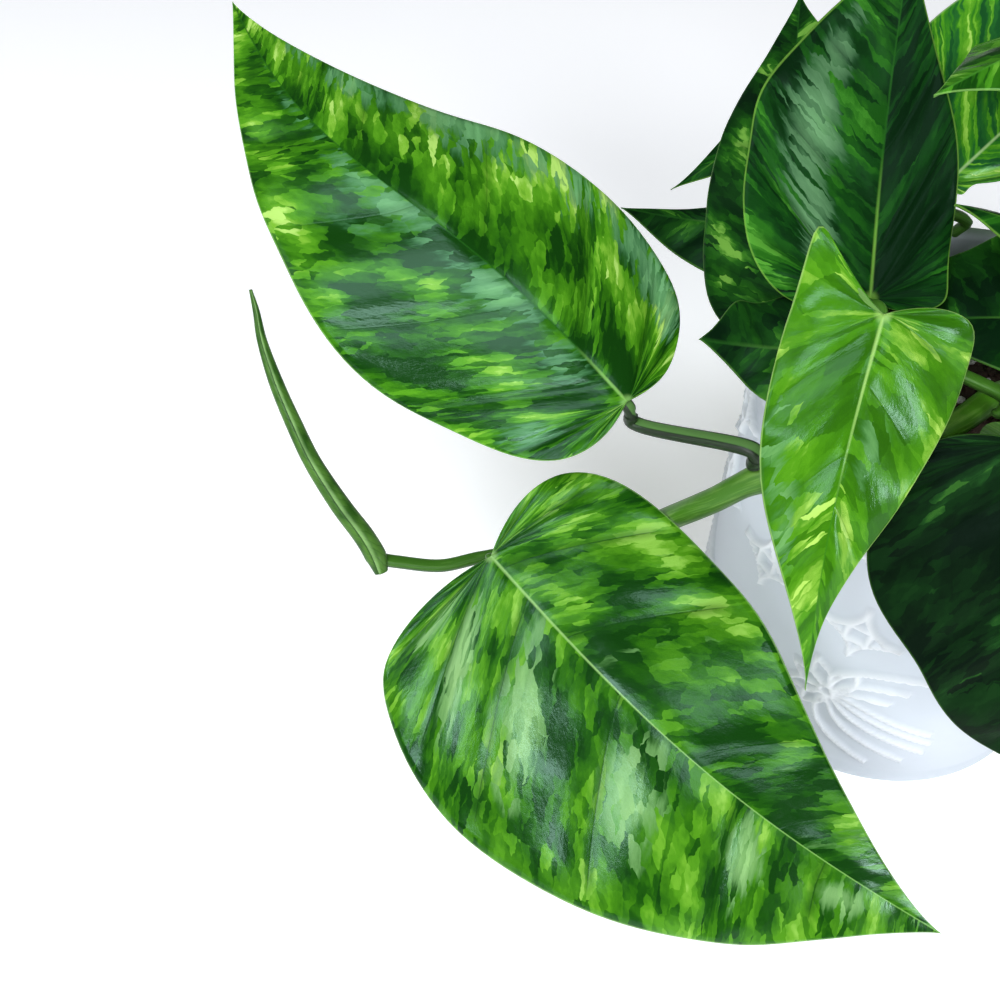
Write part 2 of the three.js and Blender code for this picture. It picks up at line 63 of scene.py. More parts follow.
def colour(code):
    """An sRGB hex code as linear red, green, blue and alpha."""
    channels = [int(code[i:i + 2], 16) / 255 for i in (1, 3, 5)]
    linear = [c / 12.92 if c <= 0.04045 else ((c + 0.055) / 1.055) ** 2.4 for c in channels]
    return (*linear, 1.0)


def add_node(tree, kind, inputs=(), **settings):
    """Adds one node. Its inputs come in their order or by name, each a value, a colour code, or the
    socket or node that feeds it; a node feeds with its first output in use."""
    node = tree.nodes.new(kind)
    for setting, value in settings.items():
        setattr(node, setting, value)
    for socket, value in inputs.items() if isinstance(inputs, dict) else enumerate(inputs):
        if isinstance(value, bpy.types.Node):
            value = next(output for output in value.outputs if output.enabled)
        if isinstance(value, bpy.types.NodeSocket):
            tree.links.new(value, node.inputs[socket])
        else:
            is_code = isinstance(value, str) and value.startswith("#")
            node.inputs[socket].default_value = colour(value) if is_code else value
    return node


print("one millimetre is", MM, "m here, and white is", colour("#ffffff"))

# %% [markdown]
# ## Meshes and pieces
#
# A mesh is made of points in millimetres and of faces, and may keep numbers on its points for the
# finish to read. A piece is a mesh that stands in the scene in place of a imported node.

# %% Meshes and pieces
def mesh_of(name, points, faces):
    """A smooth mesh from points in millimetres."""
    mesh = bpy.data.meshes.new(name)
    mesh.from_pydata((np.asarray(points) * MM).tolist(), [], faces)
    mesh.polygons.foreach_set("use_smooth", [True] * len(mesh.polygons))
    return mesh


def keep(mesh, name, values):
    """Keeps a number or a vector for the finish on every point of a mesh."""
    values = np.asarray(values, np.float32)
    kind, field = ("FLOAT", "value") if values.ndim == 1 else ("FLOAT_VECTOR", "vector")
    mesh.attributes.new(name, kind, "POINT").data.foreach_set(field, values.ravel())


def ring_faces(rings, sides):
    """The faces between rings of points that follow each other."""
    faces = []
    for i in range(rings - 1):
        for k in range(sides):
            following = (k + 1) % sides
            faces.append((i * sides + k, i * sides + following, (i + 1) * sides + following,
                          (i + 1) * sides + k))
    return faces


def triangle_count(mesh):
    """How many triangles the faces of a mesh come to."""
    return sum(len(face.vertices) - 2 for face in mesh.polygons)


def show(name, mesh, materials):
    """Puts a finished mesh into the scene at the origin; its faces keep the numbers of their materials."""
    numbers = np.zeros(len(mesh.polygons), np.int32)
    mesh.polygons.foreach_get("material_index", numbers)
    mesh.materials.clear()
    for material in materials:
        mesh.materials.append(material)
    mesh.polygons.foreach_set("material_index", np.minimum(numbers, len(materials) - 1))
    piece = bpy.data.objects.new(name, mesh)
    bpy.context.scene.collection.objects.link(piece)
    return piece


def stands_for(piece, node):
    """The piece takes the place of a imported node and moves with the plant."""
    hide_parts(node)
    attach(piece, "root")


print("faces between two rings of 8 points:", len(ring_faces(2, 8)))

# %% [markdown]
# ## The camera
#
# The plant is seen from the front and from above, close by, so the two big leaves at the left look
# large and the pot narrows towards its base. A 36 mm lens on a 36 mm sensor gives a view of 53
# degrees. The camera stands 27 cm above the floor and looks 52 degrees down.

# %% Camera
CAMERA_PLACE = (-0.111, -0.159, 0.267)
CAMERA_DOWN = 52

camera_data = bpy.data.cameras.new("camera")
camera_data.lens = 36
camera_data.sensor_width = 36
camera = bpy.data.objects.new("camera", camera_data)
camera.location = CAMERA_PLACE
camera.rotation_euler = (math.radians(90 - CAMERA_DOWN), 0, 0)
bpy.context.scene.collection.objects.link(camera)
bpy.context.scene.camera = camera
print("camera looks", CAMERA_DOWN, "degrees down")

# %% [markdown]
# ## Where the stems are
#
# A stem is a list of places that it passes, and a smooth curve runs through them. The numbers are
# the ones that the plain solids were made from.

# %% Stem places, in millimetres
SOIL_TOP = 97
STEM_RADIUS = 2.7
NODE_SWELL = 0.5
NODE_SPREAD = 0.22
STEM_FOOT = 83.3
SEAT_GAP = 0.3

STEMS = {
    "stem_trailing": [
        (8, -4, STEM_FOOT), (8, -4, SOIL_TOP), (1, -12, 116), (-11, -19, 122),
        (-24, -28, 122), (-42, -34, 120), (-58, -32, 112), (-67, -30.5, 102),
        (-75, -26, 89), (-82, -26, 83), (-90, -27, 79.5),
    ],
    "stem_front": [(-10, -24, STEM_FOOT), (-10, -24, SOIL_TOP), (-12, -28, 110), (-16, -32, 124)],
    "stem_left": [(-24, 14, STEM_FOOT), (-24, 14, SOIL_TOP), (-25, 15, 108), (-27, 13, 118)],
    "stem_rear": [(-6, 30, STEM_FOOT), (-6, 30, SOIL_TOP), (-8, 33, 110), (-10, 34, 124)],
    "stem_middle": [
        (14, 10, STEM_FOOT), (14, 10, SOIL_TOP), (16, 12, 116), (19, 15, 136), (22, 18, 152),
    ],
    "stem_right": [
        (28, -8, STEM_FOOT), (28, -8, SOIL_TOP), (34, -12, 114), (48, -18, 121),
        (62, -22, 116), (72, -26, 104),
    ],
    "stem_right_rear": [
        (22, 28, STEM_FOOT), (22, 28, SOIL_TOP), (26, 32, 114), (34, 38, 128),
    ],
}
print("stems:", len(STEMS))

# %% [markdown]
# ## Where the leaves are
#
# A leaf has the place on its stem where its stalk starts, the two ends of its midrib, the way that
# its upper face looks, and a few sizes for its two halves, because no leaf is quite even.
#
# What each leaf has unless it says otherwise comes first: how far its midrib bows towards the face
# (arch, hook) and sideways (bend, sway); degrees that each half is raised; how far the margin curls
# down; how far the lobes reach back; how drawn-out the tip is; swellings of the margin (place on the
# outline, amount); tints with painted light (place round the outline, share of the way out, reach of
# both, paler, which is partly the leaf's own tone and partly painted light and shade, and painted
# sheen); how far the side veins sweep forward; the margin's waves; and the way of its stalk. Each
# half has its own width, alone as a number or with what differs there.

# %% Leaves in front, at the left and in the crown
LEAF = dict(
    arch=5, hook=0, bend=0, sway=0, fold=-6, cup=0.1, lobe=0.08, ear=0, taper=1.6, bumps=(),
    tints=(), sweep=0.22, wave=1.5, waves=2, phase=0.2, stalk=1.5, rib_end=0.24, heel=(4, 4), bow=(),
    finish="mixed",
)

LEAVES = {
    "leaf_left_large": dict(
        stem="stem_trailing", at=6.02, away=(-0.5, 0.2, 0.85), stalk=1.8, finish="marbled",
        base=(-85, -17, 118), tip=(-176, 86, 150), face=(0.05, -0.55, 0.83),
        arch=7, bend=6, sway=-3, fold=-8, wave=2.5, waves=1.8, phase=0.35,
        left=dict(width=31, taper=1.3, lobe=0.05, bumps=((1.2, 0.1), (1.42, 0.06)), tints=(
            (1.5, 0.1, 1.2, 0.22, -0.04, 0.55), (0.75, 0.7, 0.25, 0.3, -0.02, 0.5),
            (1.35, 0.75, 0.2, 0.3, -0.08, 0), (1.75, 0.5, 0.16, 0.2, 0, 0.4),
            (1.6, 0.5, 0.9, 0.4, -0.045, -0.05),
            (1.65, 0.85, 0.25, 0.2, 0.1, 0), (2.2, 0.8, 0.4, 0.25, 0.05, 0.1))),
        right=dict(width=31, taper=1.6, lobe=0.03, bumps=((0.35, -0.1), (1.6, 0.05)), tints=(
            (1.2, 0.12, 1.1, 0.28, -0.08, -0.2), (0.75, 0.8, 0.22, 0.22, 0.08, 0.75),
            (1.7, 0.92, 1.0, 0.3, 0.06, 0.58), (1.8, 0.55, 0.8, 0.3, 0.07, 0)))),
    "leaf_front_left_large": dict(
        stem="stem_trailing", at=8.7, away=(-0.9, -0.3, 0.1), stalk=1.7, finish="quilted",
        base=(-113, -36, 90), tip=(-16, -100, 40), face=(-0.1, -0.45, 0.9), heel=(-4, 5), rib_end=0,
        arch=7, bend=-6, fold=-6, cup=0.12, waves=2.2, phase=0.1,
        left=dict(width=34, taper=2.0, lobe=0.06, fold=0, cup=0.05, bumps=((1.4, 0.06),), tints=(
            (1.9, 0.25, 0.7, 0.35, -0.07, 0), (0.5, 0.6, 0.4, 0.5, 0.05, 0.1),
            (1.1, 0.8, 0.5, 0.25, 0.02, 0))),
        right=dict(
            width=46, taper=1.4, lobe=0.08, fold=-4, bumps=((0.42, 0.14), (1.45, -0.05), (2.12, 0.1)),
            tints=((0.95, 0.45, 0.6, 0.3, 0.02, 0.5), (2.1, 0.35, 0.5, 0.25, 0.02, 0.5),
                   (1.4, 0.97, 1.2, 0.15, 0.02, -0.4)))),
    "leaf_bright_middle": dict(
        stem="stem_front", at=3, away=(-0.2, 0, 1), bow=((-30, -25, 137),), heel=(0, 5), finish="bright",
        base=(-46, -30, 153), tip=(-52, -69, 92), face=(-0.05, -0.9, 0.42),
        arch=4, bend=-3, fold=-12, waves=2.2, phase=0.35,
        left=dict(width=19, taper=3.6, lobe=0.06, bumps=((0.5, 0.06), (1.05, 0.08), (1.7, 0.1)),
                  tints=((0.75, 0.55, 0.25, 0.25, 0, 0.55), (1.4, 0.3, 0.4, 0.3, 0.04, 0.4))),
        right=dict(width=15.5, taper=2.3, lobe=0.03, ear=0.22, bumps=((0.45, 0.15), (0.85, -0.05)),
                   tints=((1.5, 0.85, 0.6, 0.3, 0, 0.55), (0.7, 0.5, 0.25, 0.35, 0.07, 0)))),
    "leaf_dark_front": dict(
        stem="stem_front", at=2.1, away=(0.7, -0.5, 0.5), bow=((-13, -35, 129),), finish="shaded",
        base=(-17, -41, 133), tip=(5, -75, 61), face=(-0.15, -0.85, 0.5),
        arch=7, bend=-5, fold=-8, waves=1.6, phase=0.1,
        left=dict(width=25, lobe=0.04), right=dict(width=26, bumps=((1.6, -0.13), (2.2, 0.2)))),
    "leaf_upright": dict(
        stem="stem_left", at=3, away=(-0.2, -0.9, 0.3), bow=((-31, -3, 120),), heel=(5, 1),
        base=(-34, 2, 129), tip=(-30, 50, 181), face=(-0.15, -0.85, 0.5), finish="deep",
        arch=-4, fold=8, cup=-0.05, wave=2, waves=1.5, phase=0.3, sweep=0.45,
        left=dict(width=28, taper=1.1, bumps=((1.75, 0.14), (2.15, 0.1)), tints=(
            (1.25, 0.42, 0.35, 0.22, 0.01, 0.5), (1.7, 0.6, 0.35, 0.24, 0.02, 0.55),
            (2.1, 0.75, 0.4, 0.25, 0.03, 0.52), (0.9, 0.9, 0.5, 0.3, 0.1, -0.4),
            (2.1, 0.25, 0.5, 0.22, 0.07, 0.1))),
        # The right half's tint darkens it as painted shade
        right=dict(width=15, bumps=((0.5, 0.3),), tints=((1.2, 0.5, 1.4, 0.7, -0.12, -0.4),))),
    "leaf_upright_left": dict(
        stem="stem_left", at=2.3, away=(-0.9, -0.2, 0.4), fold=-8, finish="dark",
        base=(-46, 10, 118), tip=(-39, 84, 153), face=(-0.45, -0.65, 0.6),
        left=dict(width=22, bumps=((1.95, 0.15),), tints=(
            (1.1, 0.75, 0.3, 0.25, 0.13, 0.05), (1.7, 0.7, 0.2, 0.2, 0.15, 0),
            (2.4, 0.6, 0.5, 0.6, 0.11, 0.1))),
        right=24),
    "leaf_low_left": dict(
        stem="stem_left", at=1.7, away=(0, -0.9, 0.4), finish="dark",
        base=(-35, -7, 117), tip=(-70, -6, 125), face=(-0.2, -0.5, 0.85),
        hook=2, fold=-10, cup=0.2, wave=2, waves=2.5, phase=0.1,
        left=14, right=dict(width=14, taper=1, bumps=((2.25, 0.5),))),
    "leaf_rear_left": dict(
        stem="stem_rear", at=2.2, away=(-0.8, 0.3, 0.6), heel=(3, 2), finish="dark",
        base=(-37, 42, 117), tip=(-80, 58, 111), face=(-0.1, -0.35, 0.9),
        arch=4, bend=4, wave=1, left=14, right=5),
    "leaf_rear_small": dict(
        stem="stem_rear", at=2.1, away=(-0.2, 0.6, 0.8), bow=((-15, 50, 123),), stalk=1.2,
        base=(-31, 82, 116), tip=(-65, 73, 106), face=(-0.1, -0.45, 0.85), finish="deep",
        hook=3, bend=-2, wave=1, left=dict(width=7, taper=2.2), right=dict(width=6, taper=2.2)),
    "leaf_striped_rear": dict(
        stem="stem_rear", at=3, away=(0.1, -0.3, 1), finish="striped",
        base=(-16, 25, 141), tip=(42, 76, 169), face=(0.1, -0.7, 0.6),
        arch=4, fold=-4, cup=0.05, wave=1, sweep=0.32, left=27,
        right=dict(width=17, lobe=0, bumps=((0.45, -0.55), (0.85, -0.35)))),
    "leaf_curled_top": dict(
        stem="stem_middle", at=3.4, away=(-0.9, 0.3, 0.3),
        base=(14, 27, 171), tip=(-33, 9, 170), face=(0.05, -0.05, 1),
        arch=6, fold=-25, cup=0.25, wave=1, waves=1.5,
        left=14, right=22),
    "leaf_small_middle": dict(
        stem="stem_middle", at=3.1, away=(-0.4, -0.9, 0.1), stalk=1.2, finish="deep",
        base=(5, -10, 142), tip=(-21, 9, 147), face=(0.3, -0.1, 1),
        arch=3, fold=-20, wave=0.5, left=8, right=15),
    "leaf_low_middle": dict(
        stem="stem_middle", at=1.5, away=(0, -0.9, 0.4), stalk=1.2, finish="dark",
        base=(13, -8, 129), tip=(-29, 0, 123), face=(0.2, -0.4, 0.9),
        arch=5, wave=1, left=dict(width=16, fold=8, cup=0),
        right=dict(width=23, taper=1.1, bumps=((2.2, 0.3),))),
}
print("leaves in front, at the left and in the crown:", len(LEAVES))

# %% [markdown]
# ## Leaves at the right and rear
#
# These leaves are plainer. Their halves are nearly even, and they keep most of what every leaf has.

# %% Leaves at the right and rear
LEAVES |= {
    "leaf_right_front_large": dict(
        stem="stem_right", at=4.9, away=(0.1, -0.7, 0.7),
        base=(64, -46, 124), tip=(116, -122, 78), face=(0.15, -0.3, 0.95),
        arch=9, bend=3, cup=0.12, left=38, right=36),
    "leaf_right_large": dict(
        stem="stem_right", at=3.6, away=(0.3, 0.6, 0.8), finish="marbled",
        base=(74, 8, 136), tip=(174, 34, 104), face=(0.2, -0.1, 0.95),
        arch=9, bend=-3, left=36, right=37),
    "leaf_front_right": dict(
        stem="stem_right", at=2.2, away=(-0.2, -0.9, 0.5), finish="marbled",
        base=(20, -50, 128), tip=(44, -92, 58), face=(0.1, -0.6, 0.7),
        arch=7, bend=2, left=27, right=28),
    "leaf_right_low": dict(
        stem="stem_right", at=4.5, away=(0.7, 0.6, 0.3),
        base=(88, -8, 112), tip=(148, -30, 60), face=(0.3, -0.2, 0.9),
        arch=7, bend=-2, left=27, right=28),
    "leaf_middle_right": dict(
        stem="stem_middle", at=1.8, away=(0.9, -0.2, 0.4), bend=2,
        base=(42, 2, 146), tip=(92, -22, 140), face=(0, -0.2, 1),
        left=24, right=25),
    "leaf_right_rear_low": dict(
        stem="stem_right_rear", at=1.8, away=(0.8, 0.5, 0.4), finish="marbled",
        base=(56, 54, 122), tip=(108, 92, 70), face=(0.4, 0.4, 0.8),
        arch=7, bend=-2, left=28, right=27),
    "leaf_rear_left_low": dict(
        stem="stem_rear", at=1.7, away=(0.3, 0.8, 0.5),
        base=(-7, 60, 118), tip=(-20, 100, 61), face=(-0.2, 0.6, 0.8),
        arch=6, bend=2, left=21, right=22),
    "leaf_right_rear_large": dict(
        stem="stem_right_rear", at=3, away=(0.3, 0.1, 1),
        base=(54, 46, 150), tip=(124, 114, 122), face=(0.1, 0.1, 1),
        arch=8, bend=3, fold=-5, left=34, right=33),
    "leaf_rear_large": dict(
        stem="stem_right_rear", at=2.2, away=(-0.3, 0.7, 0.6), finish="marbled",
        base=(14, 64, 138), tip=(22, 152, 92), face=(0, 0.4, 0.9),
        arch=8, bend=2, fold=-5, left=30, right=30),
    "leaf_top_front": dict(
        stem="stem_middle", at=4, away=(0.1, -0.4, 1), bend=2, fold=-5, finish="marbled",
        base=(24, -4, 180), tip=(66, -60, 198), face=(-0.1, -0.3, 0.9),
        left=27, right=27),
    "leaf_top_right": dict(
        stem="stem_middle", at=3.6, away=(0.8, -0.1, 0.6), arch=6, bend=2, fold=-5,
        base=(44, 16, 188), tip=(102, 48, 212), face=(-0.3, -0.2, 0.9),
        left=28, right=27),
    "leaf_top_rear": dict(
        stem="stem_middle", at=2.7, away=(0.1, 0.8, 0.6), arch=6, bend=2, fold=-5,
        base=(24, 40, 182), tip=(30, 110, 202), face=(0, -0.3, 0.9),
        left=26, right=27),
}
LEAVES = {name: {**LEAF, **leaf} for name, leaf in LEAVES.items()}
print("leaves in all:", len(LEAVES))

# %% [markdown]
# ## Ways, bumps and curves
#
# Three short formulas come back in every shape: a way with length one, a soft bump, and a smooth
# curve through given points, as a stem grows through its nodes.

# %% Ways, bumps and curves
def unit(way):
    """A way with length one."""
    way = np.asarray(way, float)
    return way / np.linalg.norm(way)


def hump(x, middle, spread):
    """A soft bump with height one."""
    return np.exp(-(((x - middle) / spread) ** 2))


def on_route(points, share):
    """Places on the smooth curve through the points; share runs from 0 to 1."""
    points = np.asarray(points, float)
    spans = len(points) - 1
    place = np.clip(np.atleast_1d(share), 0, 1) * spans
    first = np.minimum(place.astype(int), spans - 1)
    part = (place - first)[:, None]
    ends = np.vstack([2 * points[0] - points[1], points, 2 * points[-1] - points[-2]])
    before, start, end, after = (ends[first + k] for k in range(4))
    leave = (end - before) / 2
    arrive = (after - start) / 2
    cubic = 2 * start - 2 * end + leave + arrive
    square = 3 * end - 3 * start - 2 * leave - arrive
    return ((cubic * part + square) * part + leave) * part + start


def way_at(points, share):
    """The way that the curve through the points runs at one place."""
    step = 1e-4
    return unit(on_route(points, share + step)[0] - on_route(points, share - step)[0])


print("the trailing stem ends at", on_route(STEMS["stem_trailing"], 1)[0].round(1))

# %% [markdown]
# ## The sheet of a leaf
#
# A pothos leaf is a heart: side veins leave the midrib at a slant, sweep forward and run out to the
# margin, and the first ones fan out from the notch. So a place on the leaf is given by two numbers:
# `turn` picks the vein and goes from 0 at the notch round to pi at the tip, and `share` is how far
# out along that vein the place lies. Every other form is added to this: the bow of the midrib, the
# fold of the halves, the curled margin and its waves.

# %% The leaf as a formula
VEIN_CURVE = 1.2
LOBE_SCALE = 2.6
EAR_AT = 0.55
EAR_SPREAD = 0.3
BUMP_SPREAD = 0.25
RIGHT_PHASE = 1.7


def half_width(turn, taper):
    """How wide the half is, from 0 to 1, at the end of a vein."""
    widest = 2 * math.atan(1 / math.sqrt(1 + taper))

    def form(t):
        return np.sin(t) * np.maximum(np.cos(t / 2), 0) ** taper

    return np.maximum(0, form(turn) / form(widest))


def leaf_axes(leaf):
    """The leaf's length as a step, its face and its left side."""
    span = np.subtract(leaf["tip"], leaf["base"]).astype(float)
    along = unit(span)
    face = np.asarray(leaf["face"], float)
    face = unit(face - face.dot(along) * along)
    return span, along, face, np.cross(face, along)


def half_of(leaf, side):
    """A leaf's numbers for one half; side is 1 for the left half and -1 for the right."""
    half = leaf["left"] if side > 0 else leaf["right"]
    return {**leaf, **(half if isinstance(half, dict) else {"width": half})}


def rib_at(leaf, a):
    """Places on the midrib, where a is 0 at the notch and 1 at the tip."""
    span, _, face, sideways = leaf_axes(leaf)
    a = np.asarray(a, float)[..., None]
    c = math.pi * np.clip(a, 0, 1)
    lift = leaf["arch"] * np.sin(c) + leaf["hook"] * np.sin(2 * c)
    aside = leaf["bend"] * np.sin(c) + leaf["sway"] * np.sin(2 * c)
    return leaf["base"] + span * a + face * lift + sideways * aside


def sheet_at(leaf, side, turn, share):
    """Places on the leaf's sheet."""
    half = half_of(leaf, side)
    face, sideways = leaf_axes(leaf)[2:]
    lobe = half["lobe"] * LOBE_SCALE * np.sin(turn) * np.maximum(np.cos(turn), 0) ** 2
    ear = half["ear"] * hump(turn, EAR_AT, EAR_SPREAD) * np.minimum(1, 2 * turn / EAR_AT)
    margin = (1 - np.cos(turn)) / 2 - lobe - ear
    swell = sum(amount * hump(turn, at, BUMP_SPREAD) for at, amount in half["bumps"])
    out = half_width(turn, half["taper"]) * (1 + swell)
    root = np.maximum(0, (1 - np.cos(turn)) / 2 - leaf["sweep"] * half_width(turn, leaf["taper"]))
    a = root + (margin - root) * share ** VEIN_CURVE
    b = out * share
    fold = math.radians(half["fold"])
    phase = half["phase"] * (1 if side > 0 else RIGHT_PHASE)
    wave = half["wave"] * b * b * np.sin(2 * math.pi * (half["waves"] * a + phase))
    lift = half["width"] * (b * math.sin(fold) - half["cup"] * b * b) + wave
    across = side * half["width"] * b * math.cos(fold)
    return rib_at(leaf, a) + sideways * across[..., None] + face * lift[..., None]


LENGTHS = [np.linalg.norm(np.subtract(leaf["tip"], leaf["base"])) for leaf in LEAVES.values()]
print("leaves are", round(min(LENGTHS)), "to", round(max(LENGTHS)), "mm long")

# %% [markdown]
# ## Skins round a sheet
#
# The sheet is only a surface without thickness. A blade needs to know which way the sheet faces at
# every place, where it bulges slowly, and how an upper skin, a lower skin and a rim close round it.

# %% Skins round a sheet


def puckers(points, seed):
    """A slow, uneven lift of the sheet, as no leaf is quite smooth."""
    waves = np.random.default_rng(seed).normal(size=(5, 3))
    starts = np.random.default_rng(seed + 1).uniform(0, 6.28, 5)
    lengths = (13, 17, 22, 29, 37)
    total = 0
    for way, start, length in zip(waves, starts, lengths):
        total = total + np.sin(points @ unit(way) * 2 * math.pi / length + start)
    return total / len(lengths)


def sheet_normals(leaf, side, turn, share, sheet):
    """The way that the sheet faces at every place, from a small step round and a small step out."""
    face = leaf_axes(leaf)[2]
    step = 1e-3
    round_way = sheet_at(leaf, side, np.minimum(turn + step, math.pi), share) - sheet
    out_way = sheet_at(leaf, side, turn, share + step) - sheet
    normal = np.cross(round_way, out_way) * side
    size = np.linalg.norm(normal, axis=2, keepdims=True)
    normal = np.where(size > 1e-9, normal / np.maximum(size, 1e-12), face)
    normal[:, 0] = face
    normal[[0, -1]] = face
    return normal


def skin_faces(rows, columns, side):
    """The faces of the upper skin, the lower skin and the rim between them."""
    lower = rows * columns
    rim = 2 * lower
    faces = []
    for i in range(rows - 1):
        here, there = i * columns, (i + 1) * columns
        for j in range(columns - 1):
            top = (here + j, there + j, there + j + 1, here + j + 1)
            faces.append(top)
            faces.append(tuple(k + lower for k in reversed(top)))
        edge, next_edge = here + columns - 1, there + columns - 1
        faces.append((edge, next_edge, rim + i + 1, rim + i))
        faces.append((rim + i, rim + i + 1, next_edge + lower, edge + lower))
    return faces if side > 0 else [face[::-1] for face in faces]


print("faces between two rows of 19 places:", len(skin_faces(2, 19, 1)))

# %% [markdown]
# ## The blade of a leaf
#
# A real blade is about half a millimetre thick and puffed up a little between its side veins, which
# lie in shallow grooves. The gloss on a pothos leaf breaks into streaks there, so the puffs are real
# geometry and not paint. The blade is made as two skins, upper and lower, that meet in a rounded
# rim. Four vectors are kept on every point for the finish: the place in millimetres along and
# across the veins, the nearest vein, the distances to margin, midrib and notch, and the tints, which
# hold the leaf's own tone with painted light and shade, and painted sheen.

# %% Blade
ROWS_PER_VEIN = 10
BLADE_THICK = 0.45
SHARES = np.array([0, 0.012, 0.028, 0.05, 0.08, 0.12, 0.17, 0.23, 0.3, 0.38, 0.46, 0.54, 0.62, 0.7,
                   0.78, 0.85, 0.91, 0.96, 1.0])
BROAD = 20
PUFF_MOST = 1.1
SMALL_PUFF_MOST = 0.2
SLOW_LIFT = 0.45
GROOVE_DEEP = 0.35
GROOVE_HALF = 0.8
RIDGE_HIGH = 0.9
RIDGE_HALF = 0.9


def blade_half(leaf, side, veins, seed):
    """The two skins and the rim of one half, with what the finish needs to know."""
    # Rows of places that follow the side veins, a little unevenly
    rows = veins * ROWS_PER_VEIN + 1
    turn = np.linspace(0, math.pi, rows)[:, None] + np.zeros(len(SHARES))
    uneven = 0.035 * np.sin(7 * turn + seed) + 0.02 * np.sin(13 * turn + 2 * seed + side)
    turn = turn + uneven * np.sin(turn)
    share = SHARES + np.zeros((rows, 1))
    sheet = sheet_at(leaf, side, turn, share)
    normal = sheet_normals(leaf, side, turn, share, sheet)

    # Distances on the sheet, in millimetres
    steps = np.linalg.norm(np.diff(sheet, axis=1), axis=2)
    from_rib = np.hstack([np.zeros((rows, 1)), np.cumsum(steps, axis=1)])
    to_margin = from_rib[:, -1:] - from_rib
    gap = np.linalg.norm(np.gradient(sheet, axis=0), axis=2) * ROWS_PER_VEIN
    vein = np.arange(rows)[:, None] / ROWS_PER_VEIN + (0 if side > 0 else 0.5)
    half = half_of(leaf, side)
    rib_mm = half_width(turn, leaf["taper"]) * share * half["width"]
    notch_mm = np.linalg.norm(sheet - leaf["base"], axis=2)
    to_tip = 1 - np.clip(turn / math.pi, 0, 1)

    # Puffs between the veins, the groove of the midrib, and the ridge of the midrib below
    puff = np.minimum(gap * 0.09, PUFF_MOST) * (np.abs(np.sin(math.pi * vein)) - 0.6)
    puff = puff + np.minimum(gap * 0.02, SMALL_PUFF_MOST) * np.abs(np.sin(2 * math.pi * vein))
    puff = puff * np.clip(rib_mm / 4, 0, 1) * np.clip(to_margin / 5, 0, 1)
    slow = SLOW_LIFT * puckers(sheet, seed) * np.clip(rib_mm / 8, 0, 1) * np.clip(notch_mm / 15, 0, 1)
    groove = GROOVE_DEEP * np.exp(-(rib_mm / GROOVE_HALF) ** 2) * to_tip
    ridge = (RIDGE_HIGH * to_tip + 0.1) * np.exp(-(rib_mm / RIDGE_HALF) ** 2) * np.clip(turn, 0, 1)
    upper = sheet + normal * (BLADE_THICK / 2 + puff + slow - groove)[..., None]
    lower = sheet - normal * (BLADE_THICK / 2 - puff - slow + ridge)[..., None]
    rim_out = sheet[:, -1] - sheet[:, -2]
    rim_out = rim_out / np.maximum(np.linalg.norm(rim_out, axis=1, keepdims=True), 1e-9)
    rim = (upper[:, -1] + lower[:, -1]) / 2 + rim_out * BLADE_THICK / 2 * np.sin(turn[:, -1:])
    rim[[0, -1]] = sheet[[0, -1], -1]

    # What the finish needs to know at every point
    flat = np.zeros_like(from_rib)
    mean_gap = np.linalg.norm(np.subtract(leaf["tip"], leaf["base"])) / veins
    leaf_map = np.stack([vein * mean_gap + flat, from_rib, flat + seed * 9 + 40 * side], axis=2)
    vein_map = np.stack([vein + flat, gap, flat + 1], axis=2)
    edge_map = np.stack([to_margin, rib_mm, notch_mm], axis=2)
    # Tints: the first is partly the leaf's own tone and partly painted light and shade; the second is
    # painted sheen
    tone_and_painted_light, painted_sheen = flat, flat
    for at, out, reach_round, reach_out, more_tone_and_painted_light, more_sheen in half["tints"]:
        near = hump(turn, at, reach_round) * hump(share, out, reach_out)
        tone_and_painted_light = tone_and_painted_light + more_tone_and_painted_light * near
        painted_sheen = painted_sheen + more_sheen * near
    tint_and_painted_light_map = np.stack([tone_and_painted_light, painted_sheen * np.clip(notch_mm / 14, 0, 1), flat], axis=2)

    def all_points(above, below, between):
        """Upper skin, lower skin and rim as one list."""
        return np.vstack([above.reshape(-1, 3), below.reshape(-1, 3), between])

    points = all_points(upper, lower, rim)
    maps = {name: all_points(kept, kept, kept[:, -1]) for name, kept in (
        ("leaf_map", leaf_map), ("edge_map", edge_map), ("tint_and_painted_light_map", tint_and_painted_light_map))}
    maps["vein_map"] = all_points(vein_map, vein_map * (1, 1, 0), vein_map[:, -1] * (1, 1, 0.5))
    return points, skin_faces(rows, len(SHARES), side), maps


def blade_mesh(name, leaf, seed):
    """Both halves as one closed mesh."""
    widest = max(half_of(leaf, side)["width"] for side in (1, -1))
    veins = 9 if widest > BROAD else 7
    points, faces, maps = blade_half(leaf, 1, veins, seed)
    more_points, more_faces, more_maps = blade_half(leaf, -1, veins, seed)
    faces = faces + [tuple(k + len(points) for k in face) for face in more_faces]
    mesh = mesh_of(name, np.vstack([points, more_points]), faces)
    for key in maps:
        keep(mesh, key, np.vstack([maps[key], more_maps[key]]))
    return mesh


print("rows of points on each side vein:", ROWS_PER_VEIN)

# %% [markdown]
# ## Stems and stalks as tubes along a path
#
# A stalk is round below and has a shallow channel on its upper side. Geometry Nodes sweep such an
# outline along any path: the path is a line of points that carries its own radius, and the tree
# keeps the length and the height of every point for the finish's fine streaks.

# %% Tube tree
CHANNEL_FROM = 0.45


